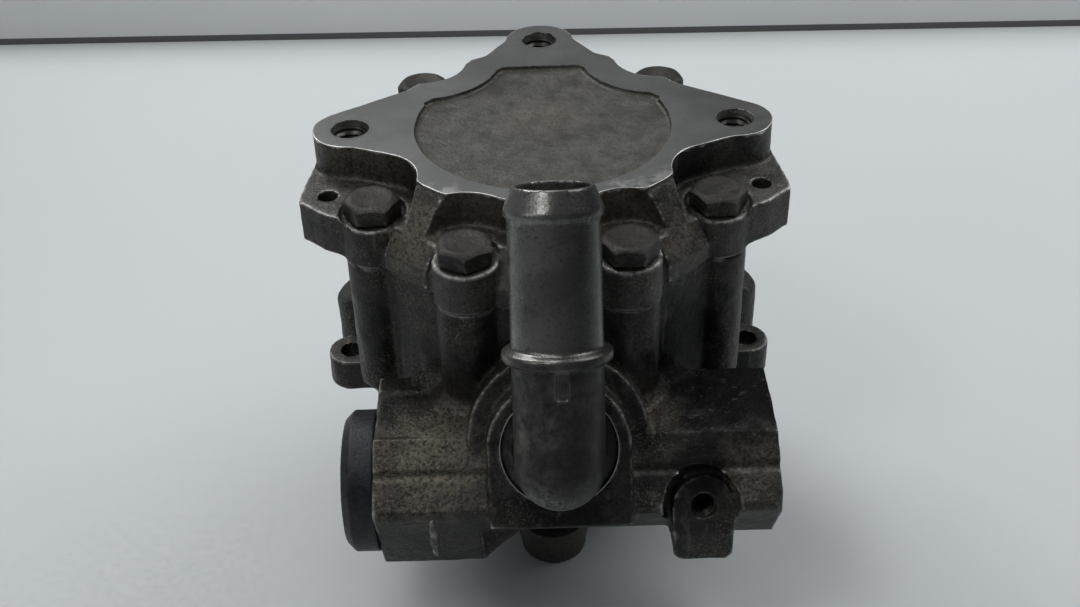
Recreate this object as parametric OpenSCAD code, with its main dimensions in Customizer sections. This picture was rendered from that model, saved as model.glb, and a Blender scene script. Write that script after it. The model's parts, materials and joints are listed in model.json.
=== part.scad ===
// Vane pump for power-assisted steering, standing on its pulley hub with the rear cover on top.
// Origin: centre of the hub's lower face, on the shaft axis.
// +Z runs up the shaft, -Y faces the suction port, +X points along the flow-valve bore to the outlet.

/* [Stack along the shaft] */
// Height of the hub's boss above its pulley face
hub_boss_h = 12; // [11:0.5:16]
// Air gap between the hub's boss and the housing nose
nose_gap = 1; // [0.5:0.1:3]
// Width of the drive-end ball bearing
bearing_w = 12; // [11:0.5:14]
// Thickness of the bearing's retaining ring
circlip_t = 1.2; // [1:0.1:1.6]
// Housing lip below the retaining ring
circlip_lip = 1; // [0.8:0.1:2]
// Height of the shaft seal
seal_w = 7; // [6:0.5:8]
// Room above and below the shaft seal
seal_room = 0.9; // [0.5:0.1:1.5]
// Thickness of the web between seal and pressure chamber
web_t = 7.3; // [6:0.1:10]
// Height of the pressure chamber under the front plate
chamber_h = 2.5; // [2:0.1:4]
// Thickness of the front pressure plate
front_plate_t = 8; // [7:0.5:10]
// Width of the cam ring and rotor
rotor_w = 18; // [15:0.5:20]
// Thickness of the rear side plate
rear_plate_t = 6; // [5:0.5:8]
// Thickness of the rear cover from its joint to the plateau
cover_t = 17.2; // [16:0.1:20]

/* [Rear cover] */
// Height of the plateau above the ears
plateau_h = 7.4; // [6:0.1:8.5]
// Depth of the bolt seats below the plateau
seat_drop = 8.5; // [8:0.1:9.5]
// Thickness of the side ears
ear_t = 8.8; // [6:0.1:9.4]
// Depth of the shield-shaped recess in the plateau
recess_depth = 1; // [0.5:0.1:2]
// Radius of the plateau's round middle
plateau_r = 32.4; // [31:0.1:33.5]
// Radius of the plateau's front edge
front_edge_r = 29.7; // [28.5:0.1:31]
// Radius of the recess's front arc
recess_r = 26; // [23:0.1:27]
// Distance from the shaft axis to the tapped lugs
lug_reach = 39; // [38:0.1:41]
// Radius of a lug's round end
lug_end_r = 7.5; // [7:0.1:8.5]
// Radius of the tapped hole in a lug
lug_hole_r = 3.4; // [2.5:0.1:4]
// Depth of the tapped hole in a lug
lug_hole_depth = 13; // [9:0.5:14]
// Radius of the chamfer at a lug hole's mouth
lug_mouth_r = 4.3; // [4.1:0.1:5]
// Outer radius of the cover's flange
flange_r = 40.6; // [39.8:0.1:41.5]
// Reach of the drilled ears from the middle plane
ear_reach = 48.4; // [47:0.1:50]
// Radius of an ear's drilled hole
ear_hole_r = 2; // [1.5:0.1:2.5]

/* [Cover bolts] */
// Radius of the bolt circle
bolt_circle_r = 38.8; // [38.4:0.1:40]
// Radius of a bolt's shank
bolt_r = 3; // [2.5:0.1:3.2]
// Distance across the flats of a bolt head
bolt_flats = 10; // [8:0.1:11]
// Height of a bolt head
bolt_head_h = 4; // [3:0.1:5]
// Length of a bolt under its head
bolt_length = 28; // [22:0.5:34]
// Radius of the round boss under a bolt head
bolt_boss_r = 6.3; // [6:0.1:6.8]
// Radius of the scallop cut in the plateau around the outer bolts
outer_scallop_r = 9.3; // [8.5:0.1:9.6]
// Radius of the scallop cut in the plateau around the other bolts
inner_scallop_r = 9.8; // [9:0.1:10.2]

/* [Housing] */
// Radius of the barrel
barrel_r = 40; // [39:0.1:41.5]
// Radius of the columns that hold the cover bolts
column_r = 6; // [5.5:0.1:6.3]
// Radius of the cavity for the pumping cartridge
cavity_r = 31.5; // [31:0.1:32]
// Radius of the bearing nose
nose_r = 25.5; // [24:0.1:28]
// Radius of the fillet where the valve block's top meets the barrel
block_fillet = 2.6; // [1.5:0.1:4]
// Radius of the small side lugs
side_lug_r = 5; // [4.5:0.1:6]
// Height of the small side lugs
side_lug_h = 7.5; // [6:0.1:10]
// Radius of the hole through a side lug
side_hole_r = 2.4; // [1.8:0.1:3]
// Radius of the slanted side stubs
side_stub_r = 5.2; // [4.5:0.1:6]

/* [Flow valve] */
// Drop from the cover joint to the valve axis
valve_drop = 37.3; // [36.5:0.1:38.5]
// Distance from the shaft axis to the valve axis
valve_reach = 45; // [44:0.1:47]
// Radius of the valve bore
valve_r = 9; // [8:0.1:9.5]
// Distance from the middle plane to the block's plug end
block_left = 34.3; // [33:0.1:38]
// Distance from the middle plane to the block's outlet end
block_right = 43; // [42:0.1:47]
// Radius of the rounding at the block's outlet end
outlet_end_r = 17.2; // [16.6:0.1:18]
// Radius of the tapped outlet port
outlet_r = 7.25; // [6:0.05:8]
// Depth of the tapped outlet port
outlet_depth = 13; // [10:0.5:14]
// Radius of the plug's head
plug_r = 14; // [13:0.1:15]
// Length of the plug's head
plug_head_l = 6.3; // [5:0.1:8]
// Radius of the plug's threaded shank
plug_shank_r = 11.5; // [11:0.1:12]
// Length of the spool
spool_l = 30; // [28:0.5:32]
// Travel of the spool from its rest to the plug's end
spool_travel = 8; // [4:0.5:9]
// Wire radius of the valve spring
spring_wire_r = 0.8; // [0.6:0.05:1]

/* [Suction side] */
// Offset of the suction port from the middle plane
port_side = 1.2; // [0:0.1:2]
// Angle of the suction port above level
port_tilt = 24; // [22:0.5:26]
// Distance of the port face's centre in front of the valve axis
port_forward = 11.5; // [11:0.1:12.5]
// Height of the port face's centre above the valve axis
port_rise = 16.9; // [16.5:0.1:18]
// Radius of the port bore
port_r = 11; // [10.6:0.05:11.4]
// Half width of the port boss
port_boss_r = 13.5; // [13.2:0.1:14.5]
// Radius of the larger arch behind the port boss
port_arch_r = 17.3; // [16.5:0.1:18.5]
// Outer radius of the suction pipe
pipe_r = 8.25; // [7.8:0.05:8.6]
// Bore radius of the suction pipe
pipe_bore_r = 6.5; // [5.5:0.1:6.8]
// Length of the pipe's leg from the elbow's centre
pipe_l = 50.3; // [44:0.1:56]
// Gap between the pipe's leg and the port face
pipe_gap = 0.35; // [0.3:0.05:1.5]
// Distance of the hose collar from the elbow's centre
collar_at = 20.8; // [18:0.1:24]
// Radius of the hose collar
collar_r = 9.9; // [9.2:0.1:11]
// Thickness of the hose collar
collar_t = 2.7; // [2:0.1:4]

/* [Small tapped boss] */
// Distance of the small boss from the middle plane
small_boss_x = 28.4; // [27:0.1:30]
// Half width of the small boss
small_boss_r = 5.9; // [5.2:0.1:6.4]
// Radius of the tapped hole in the small boss
small_hole_r = 2.5; // [2:0.1:2.8]
// Depth of the tapped hole in the small boss
small_hole_depth = 9; // [6:0.5:9.5]
// Radius of the relief cut around the small boss
relief_cut_r = 7.3; // [6.8:0.1:8.2]

/* [Drive] */
// Thickness of the hub's arms
hub_t = 8; // [6:0.5:10]
// Radius of the circle through the pulley bolts
pulley_circle_r = 23.5; // [22:0.1:25]
// Radius of an arm's round end
hub_arm_r = 7.2; // [6.5:0.1:8]
// Radius of the tapped pulley holes
pulley_hole_r = 3.4; // [2.5:0.1:4]
// Radius of the hub's boss
hub_boss_r = 14; // [12:0.1:16]
// Radius of the shaft in the hub
shaft_hub_r = 8; // [7.5:0.05:8.4]
// Radius of the shaft in the bearing
shaft_bearing_r = 8.5; // [8.45:0.01:9]
// Radius of the shaft in the seal
shaft_seal_r = 8.4; // [8.1:0.05:8.45]
// Radius of the shaft in the rotor
shaft_rotor_r = 8; // [7.5:0.05:8.05]
// Radius of the shaft in the rear bush
shaft_rear_r = 6.5; // [6:0.05:6.9]

/* [Pumping cartridge] */
// Radius of the rotor
rotor_r = 22; // [21:0.1:22.2]
// Smallest radius of the cam ring's inner track
cam_min_r = 22.4; // [22.35:0.05:23]
// Lift of the cam ring's inner track
cam_lift = 2.6; // [1.5:0.1:3]
// Number of vanes
vane_count = 10; // [6:2:12]
// Thickness of a vane
vane_t = 1.8; // [1.4:0.1:2.2]
// Length of a vane from root to tip
vane_l = 8.2; // [6:0.1:8.6]
// Radius of the locating pins
pin_r = 2; // [1.5:0.1:2.2]
// Distance of the locating pins from the shaft axis
pin_reach = 27.6; // [27:0.1:28.5]

/* [Bearing] */
// Radius of the bearing's outer ring
bearing_r = 20; // [19.5:0.1:20.5]
// Thickness of each bearing ring
bearing_ring_t = 3.4; // [3:0.1:3.8]
// Radius of the bearing's balls
ball_r = 3.4; // [3.2:0.1:3.6]
// Number of balls
ball_count = 8; // [6:1:9]

/* [Hidden] */
$fn = 96;

// Overshoot of every cut past the face it opens
eps = 0.5;
// Radial clearance of running fits
run_fit = 0.04;
// Radial clearance of pieces that are only slipped in
slip_fit = 0.05;
// Clearance between faces that run past each other
face_fit = 0.04;

// Heights of the stack, from the hub's face upwards
nose_z = hub_boss_h + nose_gap;
circlip_z = nose_z + circlip_lip;
bearing_z = circlip_z + circlip_t;
seal_z = bearing_z + bearing_w + seal_room;
web_z = seal_z + seal_w + seal_room;
chamber_z = web_z + web_t;
front_plate_z = chamber_z + chamber_h;
rotor_z = front_plate_z + front_plate_t;
rear_plate_z = rotor_z + rotor_w;
joint_z = rear_plate_z + rear_plate_t;
top_z = joint_z + cover_t;
ear_z = top_z - plateau_h;
seat_z = top_z - seat_drop;

// Angles of the cover bolts: outer pair, inner pair, back pair
outer_angles = [-30, -150];
inner_angles = [-67, -113, 48, 132];
bolt_angles = concat(outer_angles, inner_angles);
lug_angles = [0, 90, 180];
bolt_hole_r = bolt_r + slip_fit;
seat_r = bolt_boss_r + 0.2;
rim_edge_h = 4;
rim_slope_w = 6;
ridge_angles = [-48.5, -131.5];
ridge_w = 11;
ear_hole_in = 5.5;
ear_hole_y = -13.5;

// Valve block section, from the valve axis: forward is negative
valve_y = -valve_reach;
valve_z = joint_z - valve_drop;
block_top = 14.5;
block_brow = 5;
block_nose = [-16, 6];
block_chin = [-16.2, 4.5];
block_toe = [-8.5, -14.5];
block_back = 14;
block_deep = 17.5;
block_shallow = 9.5;
block_back_drop = 3.2;
block_bevel = 3;
block_heel = 6;
outlet_end_deep = 11.5;
outlet_end_l = 20;
outlet_end_bevel = 1.2;
deep_end_x = -14;
deep_taper_l = 8;
block_top_z = valve_z + block_top;
groove_w = 1.4;
groove_d = 0.6;
fillet_in = 0.4;
pad_l = 9.5;
pad_d = 0.6;
pad_r = 4;
pad_in = 0.8;

// Barrel and nose of the housing
barrel_z = web_z - 2;
nose_top_z = nose_z + 10;
rib_t = 4;
rib_angles = [10, 50, 90, 130, 170];
side_lug_x = barrel_r + 3;
side_lug_y = -8.3;
side_lug_z = block_top_z - 9.8;
side_stub_y = 4;
side_stub_x = barrel_r + 1.5;
side_stub_z = block_top_z - 1;
stub_slope = 30;
small_boss_y = valve_y - 13.5;
small_boss_z = valve_z + 3.3;
small_boss_drop = 12.2;
relief_cut_depth = 2;
relief_cut_side = -0.7;
relief_cut_up = 0.7;

// Suction port and elbow, along the port axis from its face
port_boss_deep = 18;
port_boss_drop = 15.4;
port_arch_in = 5.5;
flange_in = 0.8;
pipe_flange_t = 2.5;
pipe_seal_r = 0.95;
pipe_flange_r = port_r - slip_fit;
spigot_r = 8.7;
port_step = flange_in + pipe_flange_t + 2 * pipe_seal_r + 0.3;
spigot_l = port_step + 1.9;
port_passage_r = 6;
pipe_bevel_l = 4;
elbow_out = pipe_r + pipe_gap;
pipe_bevel = 1;
pipe_rib_w = 2;
pipe_rib_l = 5.2;
pipe_rib_h = 1.3;
pipe_rib_side = 0.6;

// Valve bore and its pieces, along X
spool_r = valve_r - run_fit;
spool_right_x = block_right - outlet_depth - 11;
spool_left_x = spool_right_x - spool_l;
bore_end_x = spool_right_x + 0.3;
spool_pocket_r = 6.6;
spool_pocket_l = 13;
spring_r = spool_pocket_r - spring_wire_r - 0.3;
plug_end_x = spool_left_x - spool_travel - face_fit;
plug_shank_l = plug_end_x + block_left;
plug_pocket_l = 5;
plug_bevel = 1.6;
socket_flats = 12;
socket_depth = 4;
plug_notch_w = 2.6;
plug_notch_l = 4;
plug_notch_d = 0.8;
plug_groove_at = 0.4;
plug_groove_w = 2.2;
plug_groove_d = 1.7;
relief_bore_r = 3.6;
relief_bore_l = 13;
relief_seat_l = 4;
relief_hole_r = 1.4;
relief_ball_r = 2.4;
relief_ball_x = spool_right_x - relief_seat_l - sqrt(pow(relief_ball_r, 2) - pow(relief_hole_r, 2)) - 0.05;
relief_wire_r = 0.35;
relief_coil_r = 2;

// Cartridge and bearing
plate_r = cavity_r - slip_fit;
plate_bore_r = shaft_seal_r + 1;
snap_t = 1.1;
snap_r = shaft_rotor_r + 1.4;
snap_groove_r = shaft_rear_r + 0.3;
slot_w = vane_t + 2 * run_fit;
vane_root_r = rotor_r - 0.3 - vane_l;
pin_foot = 4.3;
pin_head = 5;
seal_groove_r = cavity_r + 2.2;
seal_cord_r = 0.9;
bush_t = 2;
bush_l = 9;
bush_r = shaft_rear_r + run_fit + bush_t;
rear_end_z = joint_z + bush_l;
ball_track_r = (bearing_r + shaft_bearing_r) / 2;
ball_z = bearing_z + bearing_w / 2;
cage_h = 2 * ball_r + 2.4;
shaft_seal_r_out = bearing_r - 4.5;
circlip_groove_r = bearing_r + 1.2;
circlip_gap = 10;

// Ring with a plain bore
module ring(r_out, r_in, h) {
    difference() {
        cylinder(r = r_out, h = h);
        translate([0, 0, -eps]) cylinder(r = r_in, h = h + 2 * eps);
    }
}

// Round ring of cord section about Z
module cord_ring(r, cord_r) {
    rotate_extrude() translate([r, 0]) circle(r = cord_r, $fn = 32);
}

// Coil spring of round wire along +Z, from its lowest to its highest wire edge
function coil_point(r, wire_r, rise, turns, step, steps, side, sides) =
    let (turn = 360 * turns * step / steps,
         across = 360 * side / sides,
         out = r + wire_r * cos(across),
         up = wire_r + rise * step / steps + wire_r * sin(across))
    [out * cos(turn), out * sin(turn), up];

module coil(r, wire_r, h, turns, sides = 8, per_turn = 20) {
    steps = turns * per_turn;
    rise = h - 2 * wire_r;
    points = [for (step = [0:steps], side = [0:sides - 1])
        coil_point(r, wire_r, rise, turns, step, steps, side, sides)];
    walls = [for (step = [0:steps - 1], side = [0:sides - 1])
        let (next = (side + 1) % sides, low = step * sides, high = low + sides)
        [low + side, high + side, high + next, low + next]];
    near_cap = [for (side = [0:sides - 1]) side];
    far_cap = [for (side = [sides - 1:-1:0]) steps * sides + side];
    polyhedron(points = points, faces = concat(walls, [near_cap, far_cap]), convexity = 10);
}

// Places children at each cover bolt
module at_bolts(angles = bolt_angles) {
    for (angle = angles) rotate(angle) translate([bolt_circle_r, 0, 0]) children();
}

// Places children on the valve axis, with local +Z along +X
module on_valve(x) {
    translate([x, valve_y, valve_z]) rotate([0, 90, 0]) children();
}

// Places children on the suction port's face, local +Z out of the port and local +Y up the pipe
module on_port() {
    translate([port_side, valve_y - port_forward, valve_z + port_rise]) rotate([90 - port_tilt, 0, 0]) children();
}

// Places children on the small boss's face, local +Z out of its hole
module on_small_boss() {
    translate([small_boss_x, small_boss_y, small_boss_z]) rotate([90 - port_tilt, 0, 0]) children();
}

// Right-hand arm of the plateau, from the middle out to its tapped lug
module plateau_arm() {
    reach = lug_reach;
    polygon([[0, 16], [reach - 11, 16.3], [reach + 4.6, 5.9], [reach + 5.8, -4.7], [reach - 3, -8.3],
        [reach - 11, -11.6], [reach - 14, -15.2], [0, -16]]);
    translate([reach, 0]) circle(r = lug_end_r);
}

// Star-shaped outline of the machined plateau
module plateau_outline() {
    difference() {
        union() {
            circle(r = plateau_r);
            for (side = [0, 1]) mirror([side, 0]) plateau_arm();
            polygon([[-15.4, 18], [15.4, 18], [15.4, 29.5], [12, 31.5], [lug_end_r, lug_reach],
                [-lug_end_r, lug_reach], [-12, 31.5], [-15.4, 29.5]]);
            translate([0, lug_reach]) circle(r = lug_end_r);
        }
        at_bolts(outer_angles) circle(r = outer_scallop_r);
        at_bolts(inner_angles) circle(r = inner_scallop_r);
        difference() {
            translate([-9, -plateau_r - 2]) square([18, plateau_r]);
            circle(r = front_edge_r);
        }
    }
}

// Shield-shaped recess in the plateau, hollowed at its upper corners around the back bolts
module recess_outline() {
    difference() {
        union() {
            circle(r = recess_r);
            polygon([[-recess_r + 0.5, 9.5], [-8, 26], [8, 26], [recess_r - 0.5, 9.5]]);
        }
        at_bolts([48, 132]) circle(r = inner_scallop_r + 7.2);
    }
}

// Round flange of the cover, sloping down to a low rim
module flange() {
    rotate_extrude() polygon([[0, joint_z], [flange_r, joint_z], [flange_r, joint_z + rim_edge_h],
        [flange_r - rim_slope_w, ear_z], [0, ear_z]]);
}

// Ridge that runs from a corner of the plateau down to the rim, between two bolts
module ridge() {
    rotate([90, 0, 0]) translate([0, 0, -ridge_w / 2]) linear_extrude(ridge_w) polygon([
        [plateau_r - 6, joint_z + 1], [flange_r + 0.3, joint_z + 1], [flange_r + 0.3, joint_z + rim_edge_h + 0.6],
        [plateau_r + 0.6, top_z - 0.8], [plateau_r - 6, top_z - 0.8]]);
}

// Right-hand drilled ear of the cover
module ear_outline() {
    polygon([[30, 4], [ear_reach - 3, 2.5], [ear_reach - 1.7, -0.5], [ear_reach - 1, -5.2],
        [ear_reach - 0.1, -12], [ear_reach, -15.5], [ear_reach - 4.7, -19.8], [ear_reach - 9.9, -23],
        [ear_reach - 13.6, -24.6], [24, -20]]);
}

module rear_cover() color("#6f6f6b") difference() {
    union() {
        flange();
        difference() {
            for (angle = ridge_angles) rotate(angle) ridge();
            translate([0, 0, ear_z - eps]) {
                at_bolts(outer_angles) cylinder(r = outer_scallop_r, h = cover_t);
                at_bolts(inner_angles) cylinder(r = inner_scallop_r, h = cover_t);
            }
        }
        translate([0, 0, joint_z]) at_bolts() cylinder(r = bolt_boss_r, h = seat_z - joint_z);
        translate([0, lug_reach, joint_z]) cylinder(r = lug_end_r, h = cover_t);
        for (side = [0, 1]) mirror([side, 0, 0]) {
            translate([0, 0, ear_z - ear_t]) linear_extrude(ear_t) ear_outline();
            translate([lug_reach, 0, ear_z - ear_t]) cylinder(r = lug_end_r, h = ear_t);
        }
        translate([0, 0, joint_z + eps]) linear_extrude(cover_t - eps) plateau_outline();
    }
    translate([0, 0, top_z - recess_depth]) linear_extrude(recess_depth + eps) recess_outline();
    for (angle = lug_angles) rotate(angle) translate([lug_reach, 0, top_z]) {
        translate([0, 0, -lug_hole_depth]) cylinder(r = lug_hole_r, h = lug_hole_depth + eps);
        translate([0, 0, lug_hole_r - lug_mouth_r]) cylinder(r1 = lug_hole_r, r2 = lug_mouth_r,
            h = lug_mouth_r - lug_hole_r);
    }
    at_bolts() {
        translate([0, 0, joint_z - eps]) cylinder(r = bolt_hole_r, h = cover_t + 2 * eps);
        translate([0, 0, seat_z]) cylinder(r = seat_r, h = cover_t);
    }
    for (side = [-1, 1]) translate([side * (ear_reach - ear_hole_in), ear_hole_y, ear_z - ear_t - eps])
        cylinder(r = ear_hole_r, h = ear_t + 2 * eps, $fn = 32);
    translate([0, 0, joint_z - eps]) cylinder(r = bush_r, h = bush_l + eps + 1);
    for (side = [-1, 1]) translate([side * pin_reach, 0, joint_z - eps])
        cylinder(r = pin_r + slip_fit, h = pin_head + eps);
}

module cover_bolts() color("#3d3b38") at_bolts() {
    translate([0, 0, seat_z]) intersection() {
        cylinder(d = bolt_flats / cos(30), h = bolt_head_h, $fn = 6);
        union() {
            cylinder(d = bolt_flats / cos(30) + 1, h = bolt_head_h - 1);
            translate([0, 0, bolt_head_h - 1]) cylinder(d1 = bolt_flats / cos(30) + 1, d2 = bolt_flats - 1.6, h = 1);
        }
    }
    translate([0, 0, seat_z - bolt_length]) cylinder(r = bolt_r, h = bolt_length);
}

module cover_seal() color("#161616") translate([0, 0, joint_z - seal_cord_r])
    cord_ring(seal_groove_r - seal_cord_r - 0.1, seal_cord_r);

// Section of the valve block, forward to the left, about the valve axis
module block_section(depth, back_drop) {
    toe = max(block_toe[1], -depth + block_bevel);
    polygon([[block_back, block_top], [-block_brow, block_top], block_nose, block_chin, [block_toe[0], toe],
        [block_toe[0] + block_bevel, -depth], [block_back - 2 * block_heel, -depth - back_drop],
        [block_back - block_heel, -depth - back_drop], [block_back, -depth - back_drop + block_heel]]);
}

// Stretch of the valve block between two places along X
module block_stretch(from_x, to_x, depth, back_drop) {
    translate([from_x, valve_y, valve_z]) rotate([90, 0, 90]) linear_extrude(to_x - from_x)
        block_section(depth, back_drop);
}

// Outlet end of the block: faceted above like the block, trimmed round in front and bevelled at its face
module outlet_end() intersection() {
    block_stretch(block_right - outlet_end_l, block_right, outlet_end_deep, block_back_drop);
    union() {
        on_valve(block_right - outlet_end_l - eps)
            cylinder(r = outlet_end_r, h = outlet_end_l + eps - outlet_end_bevel);
        on_valve(block_right - outlet_end_bevel) cylinder(r1 = outlet_end_r, r2 = outlet_end_r - outlet_end_bevel,
            h = outlet_end_bevel);
        translate([block_right - outlet_end_l - eps, valve_y, valve_z - outlet_end_r])
            cube([outlet_end_l + eps, block_back + eps, 2 * outlet_end_r]);
    }
}

// Slope under the block, from its deep plug end up to its shallow middle
module deep_taper() {
    translate([deep_end_x - eps, valve_y + block_back - block_heel, valve_z]) rotate([90, 0, 0])
        linear_extrude(block_back - block_heel - block_toe[0] - block_bevel)
            polygon([[0, -block_deep], [eps, -block_deep], [deep_taper_l, -block_shallow], [0, -block_shallow]]);
}

// Groove along the middle of the sloping front
module front_groove() {
    facet_angle = atan2(block_top - block_nose[1], -block_brow - block_nose[0]);
    translate([-block_left - eps, valve_y + (block_nose[0] - block_brow) / 2,
        valve_z + (block_top + block_nose[1]) / 2]) rotate([facet_angle, 0, 0])
        translate([0, -groove_w / 2, -groove_d]) cube([block_left + block_right + 2 * eps, groove_w, 3]);
}

// Shallow step on the block's top at the plug end, with a round inner corner
module top_step() {
    translate([-block_left - eps, valve_y - block_brow + pad_in, block_top_z - pad_d])
        linear_extrude(pad_d + eps) difference() {
            square([pad_l + pad_r + eps, block_back]);
            translate([pad_l + pad_r + eps, 0]) circle(r = pad_r);
        }
}

module valve_block() difference() {
    union() {
        block_stretch(-block_left, deep_end_x, block_deep, 0);
        block_stretch(deep_end_x - eps, block_right - outlet_end_l + eps, block_shallow, block_back_drop);
        outlet_end();
        deep_taper();
    }
    on_small_boss() translate([relief_cut_side, relief_cut_up, -relief_cut_depth])
        cylinder(r = relief_cut_r, h = 20);
    front_groove();
    top_step();
}

// Sloped fillet around a round wall that stands on the block's top
module foot_fillet(wall_r, size) {
    rotate_extrude() polygon([[wall_r - 1, block_top_z - 1], [wall_r + size + 1, block_top_z - 1],
        [wall_r - 1, block_top_z + size + 1]]);
}

// Fillets where the block's top meets the barrel and its two front columns
module block_fillets() intersection() {
    union() {
        foot_fillet(barrel_r, block_fillet);
        at_bolts([-67, -113]) foot_fillet(column_r, 0.8 * block_fillet);
    }
    translate([fillet_in - block_left, valve_y - block_brow + fillet_in, block_top_z - 2])
        cube([block_left + block_right - 2 * fillet_in, block_brow + block_back - 2 * fillet_in, block_fillet + 4]);
}

module port_boss() on_port() {
    translate([0, 0, -port_boss_deep]) linear_extrude(port_boss_deep) union() {
        circle(r = port_boss_r);
        translate([-port_boss_r, -port_boss_drop]) square([2 * port_boss_r, port_boss_drop]);
    }
    translate([0, 0, -port_boss_deep - 2]) cylinder(r = port_arch_r, h = port_boss_deep + 2 - port_arch_in);
}

// Small tapped boss: round above, with a square foot that drops straight down
module small_boss() {
    foot_r = small_boss_r - 0.2;
    on_small_boss() translate([0, 0, -12]) linear_extrude(12) union() {
        circle(r = small_boss_r);
        translate([-small_boss_r, -5.8]) square([2 * small_boss_r, 5.8]);
    }
    translate([small_boss_x, small_boss_y + 5.6, small_boss_z]) rotate([90, 0, 0])
        linear_extrude(7.9) difference() {
            translate([-foot_r, -small_boss_drop]) square([2 * foot_r, small_boss_drop - 5.2]);
            for (side = [-1, 1]) translate([side * foot_r, -small_boss_drop])
                rotate(45) square(1.8, center = true);
        }
}

// Right-hand side lug with its hole, and the slanted stub behind it
module side_lug() {
    difference() {
        union() {
            translate([side_lug_x, side_lug_y, side_lug_z - side_lug_h]) cylinder(r = side_lug_r, h = side_lug_h);
            translate([barrel_r - 8, side_lug_y - side_lug_r, side_lug_z - side_lug_h])
                cube([side_lug_x - barrel_r + 8, 2 * side_lug_r, side_lug_h]);
        }
        translate([side_lug_x, side_lug_y, side_lug_z - side_lug_h - eps])
            cylinder(r = side_hole_r, h = side_lug_h + 2 * eps);
    }
    difference() {
        translate([side_stub_x, side_stub_y, barrel_z]) cylinder(r = side_stub_r, h = side_stub_z - barrel_z + 4);
        translate([side_stub_x, side_stub_y, side_stub_z]) rotate([0, stub_slope, 0])
            translate([-2 * side_stub_r, -2 * side_stub_r, 0]) cube(4 * side_stub_r);
    }
}

// Barrel, tapered drive end and bearing nose as one turned form, with ribs behind
module barrel() {
    rotate_extrude() polygon([[0, nose_z], [nose_r - 1, nose_z], [nose_r, nose_z + 1], [nose_r, nose_top_z],
        [barrel_r - 6, barrel_z - 3], [barrel_r, barrel_z + 3], [barrel_r, joint_z + eps], [0, joint_z + eps]]);
    at_bolts() translate([0, 0, block_top_z - 8]) cylinder(r = column_r, h = joint_z - block_top_z + 8 + 2 * eps);
    for (angle = rib_angles) rotate([90, 0, angle]) translate([0, 0, -rib_t / 2]) linear_extrude(rib_t)
        polygon([[nose_r - 4, nose_z + 3], [nose_r + 1, nose_z + 3], [barrel_r - 2, barrel_z - 1],
            [barrel_r - 4, barrel_z + 8], [nose_r - 4, barrel_z + 8]]);
}

module pump_housing() color("#4d4b45") difference() {
    union() {
        barrel();
        valve_block();
        block_fillets();
        port_boss();
        small_boss();
        for (side = [0, 1]) mirror([side, 0, 0]) side_lug();
    }
    translate([0, 0, joint_z]) cylinder(r = flange_r + bolt_boss_r, h = cover_t);
    translate([0, 0, chamber_z]) cylinder(r = cavity_r, h = joint_z);
    translate([0, 0, joint_z - 2 * seal_cord_r]) cylinder(r = seal_groove_r, h = joint_z);
    translate([0, 0, nose_z - eps]) cylinder(r = bearing_r, h = bearing_z + bearing_w - nose_z + eps);
    translate([0, 0, circlip_z]) cylinder(r = circlip_groove_r, h = circlip_t);
    translate([0, 0, bearing_z]) cylinder(r = shaft_seal_r_out, h = web_z - bearing_z);
    translate([0, 0, bearing_z]) cylinder(r = shaft_seal_r + 0.8, h = joint_z);
    at_bolts() translate([0, 0, seat_z - bolt_length - 2]) cylinder(r = bolt_hole_r, h = bolt_length);
    on_valve(-block_left - eps) cylinder(r = valve_r, h = block_left + bore_end_x + eps);
    on_valve(-block_left - eps) cylinder(r = plug_shank_r + slip_fit, h = plug_shank_l + 1 + eps);
    on_valve(bore_end_x - eps) cylinder(r = 4, h = block_right - bore_end_x);
    on_valve(block_right - outlet_depth) cylinder(r = outlet_r, h = outlet_depth + eps);
    on_port() {
        translate([0, 0, -port_step]) cylinder(r = port_r, h = 30);
        translate([0, 0, -spigot_l - 0.3]) cylinder(r = spigot_r + slip_fit, h = 20);
        translate([0, 0, -27]) cylinder(r = port_passage_r, h = 27);
    }
    on_small_boss() translate([0, 0, -small_hole_depth]) cylinder(r = small_hole_r, h = 30);
    translate([10, valve_y, front_plate_z - 1.3]) rotate([-90, 0, 0]) cylinder(r = 2, h = 18, $fn = 32);
}

module suction_pipe() color("#8a8b87") on_port() difference() {
    union() {
        translate([0, 0, -spigot_l]) cylinder(r = spigot_r, h = spigot_l);
        translate([0, 0, -flange_in - pipe_flange_t]) cylinder(r = pipe_flange_r, h = pipe_flange_t);
        translate([0, 0, -flange_in]) cylinder(r = pipe_r, h = flange_in + elbow_out);
        translate([0, 0, elbow_out]) sphere(r = pipe_r);
        translate([0, 0, elbow_out]) rotate([-90, 0, 0]) rotate_extrude() polygon([[0, 0], [pipe_r, 0],
            [pipe_r, collar_at - collar_t / 2], [collar_r - 0.4, collar_at - collar_t / 2],
            [collar_r, collar_at - collar_t / 2 + 0.4], [collar_r, collar_at + collar_t / 2 - 0.9],
            [collar_r - 0.5, collar_at + collar_t / 2 - 0.5], [pipe_r, collar_at + collar_t / 2],
            [pipe_r, pipe_l - pipe_bevel_l], [pipe_r - pipe_bevel, pipe_l], [0, pipe_l]]);
        translate([pipe_rib_side - pipe_rib_w / 2, collar_at - collar_t / 2 - pipe_rib_l,
            elbow_out + pipe_r - pipe_rib_h]) cube([pipe_rib_w, pipe_rib_l + collar_t / 4, 2 * pipe_rib_h]);
    }
    translate([0, 0, -spigot_l - eps]) cylinder(r = pipe_bore_r, h = spigot_l + elbow_out + eps);
    translate([0, 0, elbow_out]) sphere(r = pipe_bore_r);
    translate([0, 0, elbow_out]) rotate([-90, 0, 0]) cylinder(r = pipe_bore_r, h = pipe_l + eps);
}

module suction_pipe_seal() color("#161616") on_port()
    translate([0, 0, -port_step + pipe_seal_r + 0.1]) cord_ring(spigot_r + pipe_seal_r + 0.1, pipe_seal_r);

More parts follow.
